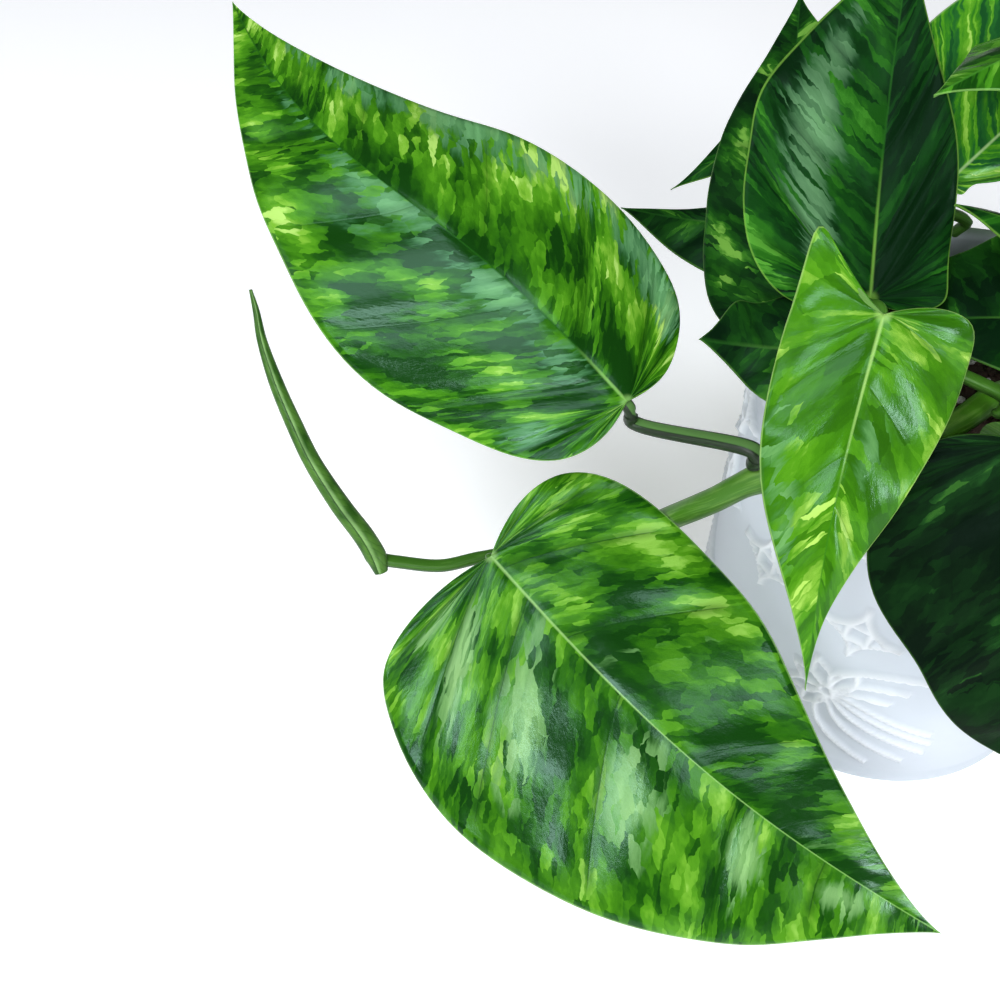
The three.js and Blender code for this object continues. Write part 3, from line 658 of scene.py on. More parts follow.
def new_tree(name, **inputs):
    """A tree for geometry with more named inputs, and the sockets that give them."""
    tree = bpy.data.node_groups.new(name, "GeometryNodeTree")
    for socket, kind in {"Geometry": "Geometry", **inputs}.items():
        tree.interface.new_socket(socket, in_out="INPUT", socket_type="NodeSocket" + kind)
    tree.interface.new_socket("Geometry", in_out="OUTPUT", socket_type="NodeSocketGeometry")
    return tree, add_node(tree, "NodeGroupInput").outputs


def end_tree(tree, geometry, finish):
    """Makes instances real, sets the finish and gives the geometry out."""
    real = add_node(tree, "GeometryNodeRealizeInstances", (geometry,))
    finished = add_node(tree, "GeometryNodeSetMaterial", {"Geometry": real, "Material": finish})
    add_node(tree, "NodeGroupOutput", (finished,))


def captured(tree, curve, name, value):
    """A curve that keeps a value of its points under a name while it is swept."""
    node = add_node(tree, "GeometryNodeCaptureAttribute", {"Geometry": curve})
    node.capture_items.new("FLOAT", name)
    tree.links.new(value, node.inputs[name])
    return node


def tube_tree():
    """Sweeps a channelled outline along a path."""
    tree, given = new_tree("stalk_along_path", Sides="Int", Channel="Float", Finish="Material")
    radius = add_node(tree, "GeometryNodeInputNamedAttribute", {"Name": "tube_radius"})
    path = add_node(tree, "GeometryNodeMeshToCurve", {"Mesh": given["Geometry"]})
    level = add_node(tree, "GeometryNodeSetCurveNormal", {"Curve": path}, mode="Z_UP")
    thick = add_node(tree, "GeometryNodeSetCurveRadius", {"Curve": level, "Radius": radius})
    length = add_node(tree, "GeometryNodeSplineParameter").outputs["Length"]
    path = captured(tree, thick, "reach", length)
    ring = add_node(tree, "GeometryNodeCurvePrimitiveCircle", {"Resolution": given["Sides"], "Radius": 1.0})
    parts = add_node(tree, "ShaderNodeSeparateXYZ", (add_node(tree, "GeometryNodeInputPosition"),)).outputs
    # The outline's Y axis points down once it stands on the path
    upward = add_node(tree, "ShaderNodeMath", (parts["Y"], -1.0), operation="MULTIPLY").outputs["Value"]
    ring = captured(tree, ring, "turn", upward)
    dent = add_node(tree, "ShaderNodeMapRange", (ring.outputs["turn"], CHANNEL_FROM), **SMOOTH)
    dent = add_node(tree, "ShaderNodeMath", (dent, given["Channel"]), operation="MULTIPLY")
    shift = add_node(tree, "ShaderNodeCombineXYZ", {"Y": dent})
    outline = add_node(tree, "GeometryNodeSetPosition", {"Geometry": ring, "Offset": shift})
    tube = add_node(tree, "GeometryNodeCurveToMesh", {
        "Curve": path, "Profile Curve": outline, "Scale": add_node(tree, "GeometryNodeInputRadius"),
        "Fill Caps": True})
    both = add_node(tree, "ShaderNodeCombineXYZ", (path.outputs["reach"], ring.outputs["turn"]))
    stored = add_node(tree, "GeometryNodeStoreNamedAttribute", {
        "Geometry": tube, "Name": "stalk_map", "Value": both}, data_type="FLOAT_VECTOR")
    end_tree(tree, add_node(tree, "GeometryNodeSetShadeSmooth", (stored,)), given["Finish"])
    return tree


TUBE_TREE = tube_tree()


def grown(tree, source, settings):
    """The plain mesh that a Geometry Nodes tree makes of a source mesh."""
    holder = bpy.data.objects.new("growing", source)
    bpy.context.scene.collection.objects.link(holder)
    modifier = holder.modifiers.new("growing", "NODES")
    modifier.node_group = tree
    for item in tree.interface.items_tree:
        if item.item_type == "SOCKET" and item.in_out == "INPUT" and item.name in settings:
            modifier[item.identifier] = settings[item.name]
    bpy.context.view_layer.update()
    depsgraph = bpy.context.evaluated_depsgraph_get()
    mesh = bpy.data.meshes.new_from_object(holder.evaluated_get(depsgraph), depsgraph=depsgraph)
    bpy.data.objects.remove(holder)
    return mesh


def tube_mesh(points, radii, finish, sides=16, channel=0.0):
    """A closed tube along points in millimetres."""
    path = bpy.data.meshes.new("path")
    path.from_pydata((np.asarray(points) * MM).tolist(), [(i, i + 1) for i in range(len(points) - 1)], [])
    keep(path, "tube_radius", np.asarray(radii, np.float32) * MM)
    return grown(TUBE_TREE, path, {"Sides": sides, "Channel": channel, "Finish": finish})


print("tube tree has", len(TUBE_TREE.nodes), "nodes")

# %% [markdown]
# ## Recipes for finishes
#
# Every finish is built from the same few steps: a vector that the mesh keeps, noise with grains of
# a real size, weighted sums, a ramp from level to tone, tones laid over each other, and a bumped
# surface at the end.

# %% Recipes for finishes
def new_material(name):
    """A material whose tree has no nodes yet, and that tree."""
    material = bpy.data.materials.new(name)
    material.use_nodes = True
    material.node_tree.nodes.clear()
    return material, material.node_tree


def kept_vector(tree, name):
    """A vector that a mesh keeps on its points, and the vector's three parts."""
    vector = add_node(tree, "ShaderNodeAttribute", attribute_name=name).outputs["Vector"]
    return vector, add_node(tree, "ShaderNodeSeparateXYZ", (vector,)).outputs


def noise_of(tree, place, size, detail=2.0, roughness=0.5):
    """Noise whose grains have the given size along the first two axes of the place."""
    scaled = add_node(tree, "ShaderNodeMapping", {
        "Vector": place, "Scale": (1 / size[0], 1 / size[1], 1)})
    return add_node(tree, "ShaderNodeTexNoise", {
        "Vector": scaled, "Scale": 1.0, "Detail": detail, "Roughness": roughness})


def summed(tree, total, *parts):
    """A total to which values are added; each part is a value and its weight."""
    for value, weight in parts:
        total = add_node(tree, "ShaderNodeMath", (value, weight, total), operation="MULTIPLY_ADD")
    return total


def ramp_of(tree, level, stops):
    """A level turned into tones; each stop is a level and its tone."""
    ramp = add_node(tree, "ShaderNodeValToRGB", (level,))
    elements = ramp.color_ramp.elements
    while len(elements) < len(stops):
        elements.new(0.5)
    for element, (stop, tone) in zip(elements, stops):
        element.position = stop
        element.color = colour(tone)
    return ramp


def layered(tree, tone, *layers):
    """A tone with others laid over it; each layer is how much of it shows and its tone."""
    for part, upper in layers:
        tone = add_node(tree, "ShaderNodeMix", {"Factor": part, "A": tone, "B": upper}, data_type="RGBA")
    return tone


def surface(tree, height, strength, depth_mm, inputs):
    """Ends a material with a surface that is bumped to some depth."""
    bump = add_node(tree, "ShaderNodeBump", {
        "Height": height, "Strength": strength, "Distance": depth_mm * MM})
    skin = add_node(tree, "ShaderNodeBsdfPrincipled", {**inputs, "Normal": bump})
    add_node(tree, "ShaderNodeOutputMaterial", (skin,))


print("recipes:", ", ".join(f.__name__ for f in (noise_of, summed, ramp_of, layered, surface)))

# %% [markdown]
# ## Marbling
#
# The green of a leaf is marbled, because some cells hold less green than others. The cells grow in
# lines beside the side veins, so the patches are stretched along the veins and end raggedly, like
# dabs of a dry brush. The dabs are cells of about 1 by 5.5 mm, measured across and along the veins,
# with ragged edges. Each takes its green from a slow noise read at the cell's middle. The same noise
# read at the place itself and a little chance are added, and the sum is cut into soft steps.

# %% Marbling
CUT_SOFT = 0.016
CUTS = (0.405, 0.455, 0.50, 0.55, 0.60, 0.65)
DARK_CUTS = (0.42, 0.48, 0.54, 0.6, 0.65, 0.69)


def marbling(tree, tones, cuts, patch_mm, dab_mm):
    """The marbled green, the slow patches that it follows, and each dab's own chances."""
    place, places = kept_vector(tree, "leaf_map")
    veins = kept_vector(tree, "vein_map")[1]
    tints = kept_vector(tree, "tint_and_painted_light_map")[1]

    # Dabs with ragged edges
    wobble = noise_of(tree, place, (1.8, 3.5), roughness=0.6).outputs["Color"]
    ragged = add_node(tree, "ShaderNodeVectorMath", (
        wobble, (1.3, 4.0, 0), place), operation="MULTIPLY_ADD")
    dab_place = add_node(tree, "ShaderNodeMapping", {
        "Vector": ragged, "Scale": (1 / dab_mm[0], 1 / dab_mm[1], 1)})
    dabs = add_node(tree, "ShaderNodeTexVoronoi", {"Vector": dab_place, "Scale": 1.0}).outputs
    chances = add_node(tree, "ShaderNodeSeparateXYZ", (dabs["Color"],)).outputs

    # Slow clouds, read once for each dab and once at each place, with small flecks and strips
    dabs_per_patch = (patch_mm[0] / dab_mm[0], patch_mm[1] / dab_mm[1])
    patches = noise_of(tree, dabs["Position"], dabs_per_patch, detail=1.5)
    clouds = noise_of(tree, ragged, patch_mm, detail=1.5)
    flecks = noise_of(tree, place, (1.2, 4.0))
    strip = add_node(tree, "ShaderNodeMath", (veins["X"], 0.5), operation="SNAP")
    strip = add_node(tree, "ShaderNodeCombineXYZ", (strip, places["Z"]))
    strips = add_node(tree, "ShaderNodeTexWhiteNoise", (strip,))
    # The level starts from the tints, whose paler part is partly painted light and shade
    level = summed(tree, tints["X"], (patches, 0.46), (clouds, 0.34), (flecks, 0.16), (chances["X"], 0.1),
                   (strips, 0.06))
    level = add_node(tree, "ShaderNodeMath", (level, -0.065), operation="ADD")
    stops = [(0.0, tones[0])]
    for cut, lower, upper in zip(cuts, tones, tones[1:]):
        stops += [(cut - CUT_SOFT, lower), (cut + CUT_SOFT, upper)]
    return ramp_of(tree, level, stops), patches, chances


print("tones in each leaf skin:", len(CUTS) + 1)

# %% [markdown]
# ## Painted sheen, painted vein shade and midrib
#
# A greyish painted sheen covers the green in dabs and streaks, most on one side of each vein. Side
# veins lie in grooves and get painted shade: a dark line half a millimetre wide in a wider, weaker
# band, gone near the margin. The midrib is a thin pale line, wider near the notch.

# %% Painted sheen, painted vein shade and midrib
def painted_sheen_of(tree, chances, tones, vein_sheen):
    """How much painted sheen covers the green, and the sheen's tone."""
    place = kept_vector(tree, "leaf_map")[0]
    veins = kept_vector(tree, "vein_map")[1]
    tints = kept_vector(tree, "tint_and_painted_light_map")[1]
    streaks = noise_of(tree, place, (1.1, 9), detail=3.0, roughness=0.6)
    one_side = add_node(tree, "ShaderNodeMath", (veins["X"], 2 * math.pi), operation="MULTIPLY")
    one_side = add_node(tree, "ShaderNodeMath", (one_side,), operation="SINE")
    sheen_level = summed(tree, tints["Y"], (streaks, 0.5), (one_side, vein_sheen), (chances["Y"], 0.36))
    # Painted sheen: it covers the green where the sheen level is high, and is paler where it is highest
    painted_sheen = add_node(tree, "ShaderNodeMapRange", (sheen_level, 0.8, 1.0, 0.0, 0.85), **SMOOTH)
    pale = add_node(tree, "ShaderNodeMapRange", (sheen_level, 0.85, 1.35))
    return painted_sheen, layered(tree, tones[0], (pale, tones[1]))


def beside_vein(tree, reach_mm, most):
    """Most on a side vein, nothing at some distance, and less towards the margin."""
    veins = kept_vector(tree, "vein_map")[1]
    edges = kept_vector(tree, "edge_map")[1]
    near = add_node(tree, "ShaderNodeMath", (veins["X"], 0.5), operation="PINGPONG")
    near_mm = add_node(tree, "ShaderNodeMath", (near, veins["Y"]), operation="MULTIPLY")
    inner = add_node(tree, "ShaderNodeMapRange", (edges["X"], 1.5, 8.0), **SMOOTH)
    beside = add_node(tree, "ShaderNodeMapRange", (near_mm, 0.0, reach_mm, most, 0.0), **SMOOTH)
    return add_node(tree, "ShaderNodeMath", (beside, inner), operation="MULTIPLY")


def midrib_of(tree, tones, pale_mm):
    """How much the midrib shows, and its tone, which is pale up to some distance from the notch."""
    edges = kept_vector(tree, "edge_map")[1]
    wide = add_node(tree, "ShaderNodeMapRange", (edges["Z"], 0.0, 60.0, 0.55, 0.2))
    line = add_node(tree, "ShaderNodeMapRange", (edges["Y"], 0.05, wide, 1.0, 0.0), **SMOOTH)
    notch = add_node(tree, "ShaderNodeMapRange", (edges["Z"], 0.6, 2.0, 0.8, 0.0), **SMOOTH)
    rib = add_node(tree, "ShaderNodeMath", (line, notch), operation="MAXIMUM")
    rib = add_node(tree, "ShaderNodeMath", (rib, 0.7), operation="MULTIPLY")
    far = add_node(tree, "ShaderNodeMapRange", (edges["Z"], 0.4 * pale_mm, pale_mm))
    return rib, layered(tree, tones[0], (far, tones[1]))


print("parts laid over the green:", ", ".join(f.__name__ for f in (painted_sheen_of, beside_vein, midrib_of)))

# %% [markdown]
# ## Leaf finish
#
# The upper face of a leaf has a waxy skin: quite smooth, with a broad soft gloss, a fine grain
# between the veins and slightly uneven wax. Painted sheen, painted vein shade, midrib and a thin pale
# rim lie over the marbled green, and the underside is duller and greyer.

# %% Leaf finish
UNDER_ROUGH = 0.6


def leaf_finish(name, tones, cuts, sheen_tones, rib_tones=("#86b95c", "#3c7a22"), rib_pale_mm=40,
                patch_mm=(6, 14), dab_mm=(0.95, 5.5), vein_sheen=0.08, vein_shade=0.5, roughness=0.22,
                ior=1.32, under_tone="#5f8442"):
    """A marbled leaf skin: tones from dark to pale, and the levels at which one gives way to the next."""
    material, tree = new_material(name)
    place = kept_vector(tree, "leaf_map")[0]
    veins = kept_vector(tree, "vein_map")[1]
    edges = kept_vector(tree, "edge_map")[1]
    green, patches, chances = marbling(tree, tones, cuts, patch_mm, dab_mm)
    # Painted shade: a dark line at each side vein, and a wider, weaker band of it round the vein
    groove = beside_vein(tree, 0.5, vein_shade)
    valley_shade = beside_vein(tree, 2.4, 0.6 * vein_shade)
    vein = add_node(tree, "ShaderNodeMath", (groove, valley_shade), operation="MAXIMUM")
    rim = add_node(tree, "ShaderNodeMapRange", (edges["X"], 0.05, 0.3, 0.55, 0.0))
    under = add_node(tree, "ShaderNodeMapRange", (veins["Z"], 0.5, 0.05, 0.0, 0.8))
    # Painted sheen, painted vein shade, midrib, pale rim and underside lie over the marbled green
    tone = layered(tree, green, painted_sheen_of(tree, chances, sheen_tones, vein_sheen), (vein, tones[0]),
                   midrib_of(tree, rib_tones, rib_pale_mm), (rim, rib_tones[0]), (under, under_tone))
    grain = noise_of(tree, place, (0.9, 2.4), detail=3.0, roughness=0.65)
    height = summed(tree, grain, (beside_vein(tree, 0.5, 1.0), -0.35))
    uneven = add_node(tree, "ShaderNodeMapRange", (patches, 0.3, 0.7, roughness - 0.06, roughness + 0.08))
    dull = add_node(tree, "ShaderNodeMix", {"Factor": under, "A": uneven, "B": UNDER_ROUGH})
    surface(tree, height, 0.25, 0.25, {
        "Base Color": tone, "Roughness": dull, "IOR": ior, "Specular Tint": "#b4e0d0"})
    return material


print("share of full roughness on an underside:", UNDER_ROUGH)

# %% [markdown]
# ## The skins of this plant
#
# The two large leaves are marbled most, the young one is the brightest, partly as painted light, and
# the leaves deep in the crown are dark with painted shade and nearly matt. Each skin has seven tones
# from dark to pale and two of painted sheen.

# %% Skins
FINISHES = {
    # Fresh green marbled from dark to yellow-green, with a bluish painted sheen
    "marbled": leaf_finish(
        "marbled_leaf_skin",
        ("#0f3808", "#1a4a0a", "#29600b", "#38740f", "#4b8a17", "#70a62e", "#a4cc62"),
        CUTS, ("#2f6439", "#74ac74"), rib_tones=("#86b95c", "#1d5212"), rib_pale_mm=16),
    # The same with deeper painted shade at the veins, and painted sheen along one side of each
    "quilted": leaf_finish(
        "quilted_leaf_skin",
        ("#0e3608", "#164508", "#255a0a", "#346c0d", "#468114", "#5e9524", "#7eae42"),
        CUTS, ("#467638", "#88b270"), rib_tones=("#90ba6c", "#78a853"), rib_pale_mm=90,
        vein_sheen=0.3, vein_shade=0.8),
    # A young leaf: light green, partly as painted light, glossy, with long pale streaks
    "bright": leaf_finish(
        "painted_light_pale_marbled_leaf_skin",
        ("#265609", "#2b5e0a", "#32690b", "#3a740d", "#478213", "#6c9c2e", "#9cc254"),
        CUTS, ("#3c7038", "#7cb068"), rib_tones=("#98bf66", "#2f6a14"), rib_pale_mm=34,
        patch_mm=(6, 18), dab_mm=(1.2, 7), roughness=0.2, ior=1.25),
    # Long light stripes that run out between the veins
    "striped": leaf_finish(
        "striped_leaf_skin",
        ("#174a20", "#205a24", "#2c701c", "#45891a", "#66a32a", "#88be42", "#a8cc64"),
        CUTS, ("#44784c", "#8cbc78"), rib_tones=("#a5c884", "#8cb464"), rib_pale_mm=60,
        patch_mm=(0.7, 40), dab_mm=(0.5, 25)),
    # Plain mid green with some marbling
    "mixed": leaf_finish(
        "green_leaf_skin",
        ("#103a08", "#1a4b0b", "#265e0e", "#326f12", "#408018", "#5c982c", "#88bc4e"),
        CUTS, ("#36703c", "#72aa66")),
    # Deep green, partly as painted shade, with fine streaks and a soft, dull gloss
    "deep": leaf_finish(
        "painted_shade_deep_green_leaf_skin",
        ("#071f0a", "#0a2a0c", "#0f370f", "#174711", "#225a14", "#326f1e", "#4a8a2c"),
        DARK_CUTS, ("#234a2a", "#648f62"), rib_tones=("#6f9f3c", "#1f5216"), rib_pale_mm=30,
        patch_mm=(5, 24), dab_mm=(0.7, 12), roughness=0.3, ior=1.11),
    # A leaf in the shade: dark green as painted shade, nearly matt
    "dark": leaf_finish(
        "shaded_dark_leaf_skin",
        ("#081e0c", "#0b280d", "#0f330e", "#154010", "#1f5213", "#38701e", "#66983a"),
        DARK_CUTS, ("#2a5234", "#547f56"), rib_tones=("#4f7d32", "#1f4d18"), rib_pale_mm=30,
        roughness=0.36, ior=1.16),
    # Deepest in the crown: almost black green as painted shade, matt
    "shaded": leaf_finish(
        "painted_shade_black_green_leaf_skin",
        ("#07140a", "#09190b", "#0b200d", "#0d270e", "#112e11", "#193e17", "#2b561e"),
        DARK_CUTS, ("#142e20", "#22462e"), rib_tones=("#3a6226", "#1c4418"), rib_pale_mm=30,
        roughness=0.4, ior=1.09),
}
print("leaf finishes:", ", ".join(FINISHES))

# %% [markdown]
# ## Stem and stalk finish
#
# Young pothos stems are smooth and juicy green, with faint streaks along them, and their upper side
# is painted lighter as light from above. The streaks use the length and the height that the tube tree
# stored.

# %% Stem finish
def stem_finish(name, low_tone, lit_top_tone, streak_tone, painted_light_from=-0.3, painted_light_to=0.5):
    """Smooth green bark, satin to the eye, with lengthwise streaks and a lighter upper side as painted
    light.
    """
    material, tree = new_material(name)
    place, parts = kept_vector(tree, "stalk_map")
    solid = add_node(tree, "ShaderNodeTexCoord").outputs["Object"]
    streaks = noise_of(tree, place, (9 * MM, 1 / 7), detail=4.0, roughness=0.6)
    speckle = add_node(tree, "ShaderNodeTexNoise", {
        "Vector": solid, "Scale": 1 / (1.2 * MM), "Detail": 2.0})
    # Painted light: the upper side of the tube is lighter
    up = add_node(tree, "ShaderNodeMapRange", (parts["Y"], painted_light_from, painted_light_to), **SMOOTH)
    lines = add_node(tree, "ShaderNodeMapRange", (streaks, 0.48, 0.68, 0.0, 0.35))
    tone = layered(tree, low_tone, (up, lit_top_tone), (lines, streak_tone))
    height = add_node(tree, "ShaderNodeMath", (streaks, speckle), operation="ADD")
    surface(tree, height, 0.3, 0.2, {"Base Color": tone, "Roughness": 0.42, "IOR": 1.42})
    return material


VINE = stem_finish("smooth_green_stem", "#2a520d", "#3a6c10", "#7da64c")
STALK = stem_finish("juicy_green_stalk", "#22480f", "#386718", "#6c9a44")
OLD_STALK = stem_finish("dark_edged_stalk", "#12220c", "#567f40", "#44693a", 0.72, 0.85)
print("stem finishes: 3")

# %% [markdown]
# ## Stems
#
# Each stem is a little thicker at its nodes, where a stalk leaves it. The radius along the path
# follows that, and the tube tree does the rest.

# %% Stems
def stem_radius(name, place):
    """The stem's radius at places counted in its points."""
    swell = np.zeros_like(place)
    for leaf in LEAVES.values():
        if leaf["stem"] == name:
            swell = np.maximum(swell, hump(place, leaf["at"], NODE_SPREAD))
    return STEM_RADIUS + NODE_SWELL * swell


for name, points in STEMS.items():
    share = np.linspace(0, 1, (len(points) - 1) * 14 + 1)
    radii = stem_radius(name, share * (len(points) - 1))
    stem = show(name + "_grown", tube_mesh(on_route(points, share), radii, VINE, sides=24), [VINE])
    stands_for(stem, name)
print("stems grown:", len(STEMS))

# %% [markdown]
# ## Leaves on their stalks
#
# Blade and stalk grew as one, so each leaf becomes one piece with two finishes. The stalk leaves
# the stem beside its node, turns up at the heel behind the notch, and runs on under the blade.

# %% Leaves
STALK_SINK = -0.3
STALK_LEAVES_BY = 5
STALK_THINS = 0.65
MIDRIB_STUB = 0.03


def stalk_path(leaf):
    """The places that a leaf's stalk passes."""
    stem = STEMS[leaf["stem"]]
    place = leaf["at"] / (len(stem) - 1)
    away = unit(leaf["away"])
    way = way_at(stem, place)
    lean = away.dot(way)
    outward = unit(away - lean * way)
    clear = STEM_RADIUS + NODE_SWELL + SEAT_GAP + leaf["stalk"] * abs(lean)
    foot = on_route(stem, place)[0] + outward * clear
    _, along, face, _ = leaf_axes(leaf)

    def under(a, share):
        return rib_at(leaf, a) + face * (STALK_SINK - share * leaf["stalk"])

    heel = under(0, 1) - along * leaf["heel"][0] - face * leaf["heel"][1]
    points = [foot, foot + away * STALK_LEAVES_BY, *leaf["bow"], heel, under(0, 0.75)]
    if leaf["rib_end"] > 0:
        points.append(under(leaf["rib_end"] / 2, 0.55))
    points.append(under(max(leaf["rib_end"], MIDRIB_STUB), 0.35))
    return points


def joined(name, meshes):
    """Several meshes as one, each keeping its own finish number."""
    whole = bmesh.new()
    for number, mesh in enumerate(meshes):
        known = len(whole.faces)
        whole.from_mesh(mesh)
        whole.faces.ensure_lookup_table()
        for face in whole.faces[known:]:
            face.material_index = number
    bmesh.ops.remove_doubles(whole, verts=whole.verts, dist=0.002 * MM)
    bmesh.ops.recalc_face_normals(whole, faces=whole.faces)
    result = bpy.data.meshes.new(name)
    whole.to_mesh(result)
    whole.free()
    return result


triangles = 0
for number, (name, leaf) in enumerate(LEAVES.items()):
    share = np.linspace(0, 1, 60)
    radii = leaf["stalk"] * (1 - STALK_THINS * share ** 2)
    stalk_skin = OLD_STALK if leaf["finish"] == "marbled" else STALK
    stalk = tube_mesh(on_route(stalk_path(leaf), share), radii, stalk_skin, sides=14, channel=0.35)
    blade = blade_mesh(name, leaf, SEED + number)
    mesh = joined(name + "_grown", [blade, stalk])
    piece = show(name + "_grown", mesh, [FINISHES[leaf["finish"]], stalk_skin])
    stands_for(piece, name)
    triangles += triangle_count(mesh)
print("leaves grown:", len(LEAVES), "triangles:", triangles)

# %% [markdown]
# ## The youngest leaf
#
# The newest leaf is still rolled round itself like a paper cone, with a blunt foot and a fine tip.
# Its outer margin runs down the roll as a step. Each ring of points is therefore not a circle but
# one turn of a spiral, and its two ends make the step.

# %% Rolled blade
ROLLED_STALK = [
    (-106, -27.4, 79.2), (-115.5, -29, 79.3), (-124.5, -31.5, 79.7), (-134, -32, 82), (-138, -32.2, 83.5),
]
ROLLED_BLADE = [
    (-137.5, -34.4, 81.5), (-138.7, -32.2, 84.6), (-141.3, -29.3, 88.4), (-146.2, -24.7, 93.4),
    (-151.8, -18.6, 100.4), (-155.9, -12.2, 106.3), (-159.2, -6.7, 113), (-161.7, -1.2, 119.8),
    (-162.7, 3.0, 124.5), (-163.4, 5.1, 128.7),
]
ROLLED_RADIUS = [1.6, 2.5, 2.4, 2.3, 2, 1.85, 1.6, 1.1, 0.75, 0.35]
ROLLED_STALK_RADIUS = 1.5
RINGS = 120
SIDES = 48
TOWARDS_VIEW = (0, -0.616, 0.788)
SEAM_START = 1.75
SEAM_TWIST = 0.4


def rolled_blade():
    """The rolled blade as rings of one spiral turn each."""
    share = np.linspace(0, 1, RINGS)
    middle = on_route(ROLLED_BLADE, share)
    radius = np.interp(share * (len(ROLLED_RADIUS) - 1), range(len(ROLLED_RADIUS)), ROLLED_RADIUS)
    ways = np.gradient(middle, axis=0)
    reach = np.concatenate([[0], np.cumsum(np.linalg.norm(np.diff(middle, axis=0), axis=1))])
    points = []
    maps = []
    for i in range(RINGS):
        way = unit(ways[i])
        side = unit(np.cross(way, TOWARDS_VIEW))
        up = np.cross(side, way)
        for round_share in np.linspace(0, 1, SIDES):
            turn = SEAM_START - SEAM_TWIST * share[i] + 2 * math.pi * round_share
            spoke = math.cos(turn) * side + math.sin(turn) * up
            points.append(middle[i] + spoke * radius[i] * (0.9 + 0.17 * round_share))
            maps.append((reach[i] * MM, round_share, radius[i]))
    ends = [tuple(range(SIDES))[::-1], tuple((RINGS - 1) * SIDES + k for k in range(SIDES))]
    mesh = mesh_of("rolled_blade", points, ring_faces(RINGS, SIDES) + ends)
    keep(mesh, "stalk_map", maps)
    return mesh


print("rings on the rolled blade:", RINGS)

# %% [markdown]
# ## The youngest leaf's back and stalk
#
# A rolled leaf shows its back. Its side veins slant round the roll, and the thin margin gets a
# painted highlight beside a painted shadow in the corner of the step.

# %% Rolled leaf
def rolled_finish():
    """A rolled leaf's back: mid green with slanting veins, a painted shadow in the step and a painted
    highlight on its edge.
    """
    material, tree = new_material("rolled_leaf_back")
    place, parts = kept_vector(tree, "stalk_map")
    clouds = noise_of(tree, place, (6 * MM, 1 / 5), detail=4.0)
    ground = ramp_of(tree, clouds, ((0.38, "#254b12"), (0.62, "#466e28")))
    # Veins lie about 2.2 mm apart and slant by 20 mm in one turn of the roll
    slant = summed(tree, parts["X"], (parts["Y"], -20 * MM), (clouds, 3 * MM))
    count = add_node(tree, "ShaderNodeMath", (slant, 1 / (2.2 * MM)), operation="MULTIPLY")
    near = add_node(tree, "ShaderNodeMath", (count, 0.5), operation="PINGPONG")
    line = add_node(tree, "ShaderNodeMapRange", (near, 0.02, 0.12, 0.35, 0.0), **SMOOTH)
    # The outer margin is a broken painted highlight, with a painted shadow in the corner beside it
    pale = add_node(tree, "ShaderNodeMapRange", (parts["Y"], 0.93, 0.985, 0.0, 0.9), **SMOOTH)
    broken_highlight = add_node(tree, "ShaderNodeMath", (pale, clouds), operation="MULTIPLY")
    dark = add_node(tree, "ShaderNodeMapRange", (parts["Y"], 0.01, 0.04, 0.7, 0.0), **SMOOTH)
    tone = layered(tree, ground, (line, "#163a0c"), (broken_highlight, "#8cb46e"), (dark, "#1a3a10"))
    surface(tree, line, 0.5, -0.15, {"Base Color": tone, "Roughness": 0.35, "IOR": 1.25})
    return material


ROLLED = rolled_finish()
trailing = STEMS["stem_trailing"]
stem_end = on_route(trailing, 1)[0]
stem_way = way_at(trailing, 1 - 1e-4)
rolled_path = [stem_end + stem_way * SEAT_GAP, stem_end + stem_way * STALK_LEAVES_BY, *ROLLED_STALK]
share = np.linspace(0, 1, 90)
rolled_stalk = tube_mesh(on_route(rolled_path, share), [ROLLED_STALK_RADIUS] * len(share), STALK,
                         channel=0.3)
mesh = joined("leaf_rolled_young_grown", [rolled_blade(), rolled_stalk])
rolled = show("leaf_rolled_young_grown", mesh, [ROLLED, STALK])
stands_for(rolled, "leaf_rolled_young")
rolled_length = np.linalg.norm(np.subtract(ROLLED_BLADE[-1], ROLLED_BLADE[0]))
print("rolled leaf length:", round(rolled_length), "mm")

# %% [markdown]
# ## The pot
#
# A cast pot comes out of its mould with the ornament already on it, raised about a millimetre with
# soft edges. The ornament is a common one: a row of rosettes with short petals on one side and a
# fan of long swept lines on the other, and above them bands of fields with four hollow sides, each
# with a small square. It is drawn as lines on the unrolled wall.

# %% Ornament
BASE_RADIUS = 50
RIM_RADIUS = 53
POT_HEIGHT = 110
POT_WALL = 4.5
POT_FLOOR = 6
EDGE_ROUND = 1.6
CELLS_AROUND = 4
COLUMNS = 576
WALL_ROWS = 150
MEAN_RADIUS = (BASE_RADIUS + RIM_RADIUS) / 2
CELL = 2 * math.pi * MEAN_RADIUS / CELLS_AROUND
ROSETTE_HEIGHT = 40.2
ROSETTE_TURN = -124.3
HUB = 2.0
# Petals as way in degrees, length and width; swept lines as way at the hub, later way and length
PETALS = ((72, 13, 6), (118, 12, 5), (160, 11, 5), (205, 11, 5), (245, 11, 5))
SWEPT_LINES = (
    (88, 10, 36), (62, 6, 20), (30, 3, 14), (0, -20, 28), (-30, -22, 31),
    (-54, -24, 34), (-78, -28, 36), (-104, -32, 36),
)
FIELD = 9.5
FIELDS = [(x, y) for y in (28, 55) for x in (-27, 0, 27)] + [(-27, -8)]
SQUARE = 2.6 * np.array([(-1, -1), (1, -1), (1, 1), (-1, 1), (-1, -1)])
RELIEF = 1.6
LINE_HALF = 0.7


def ray(angles):
    """Ways of length one at the given angles."""
    return np.stack([np.cos(angles), np.sin(angles)], axis=-1)


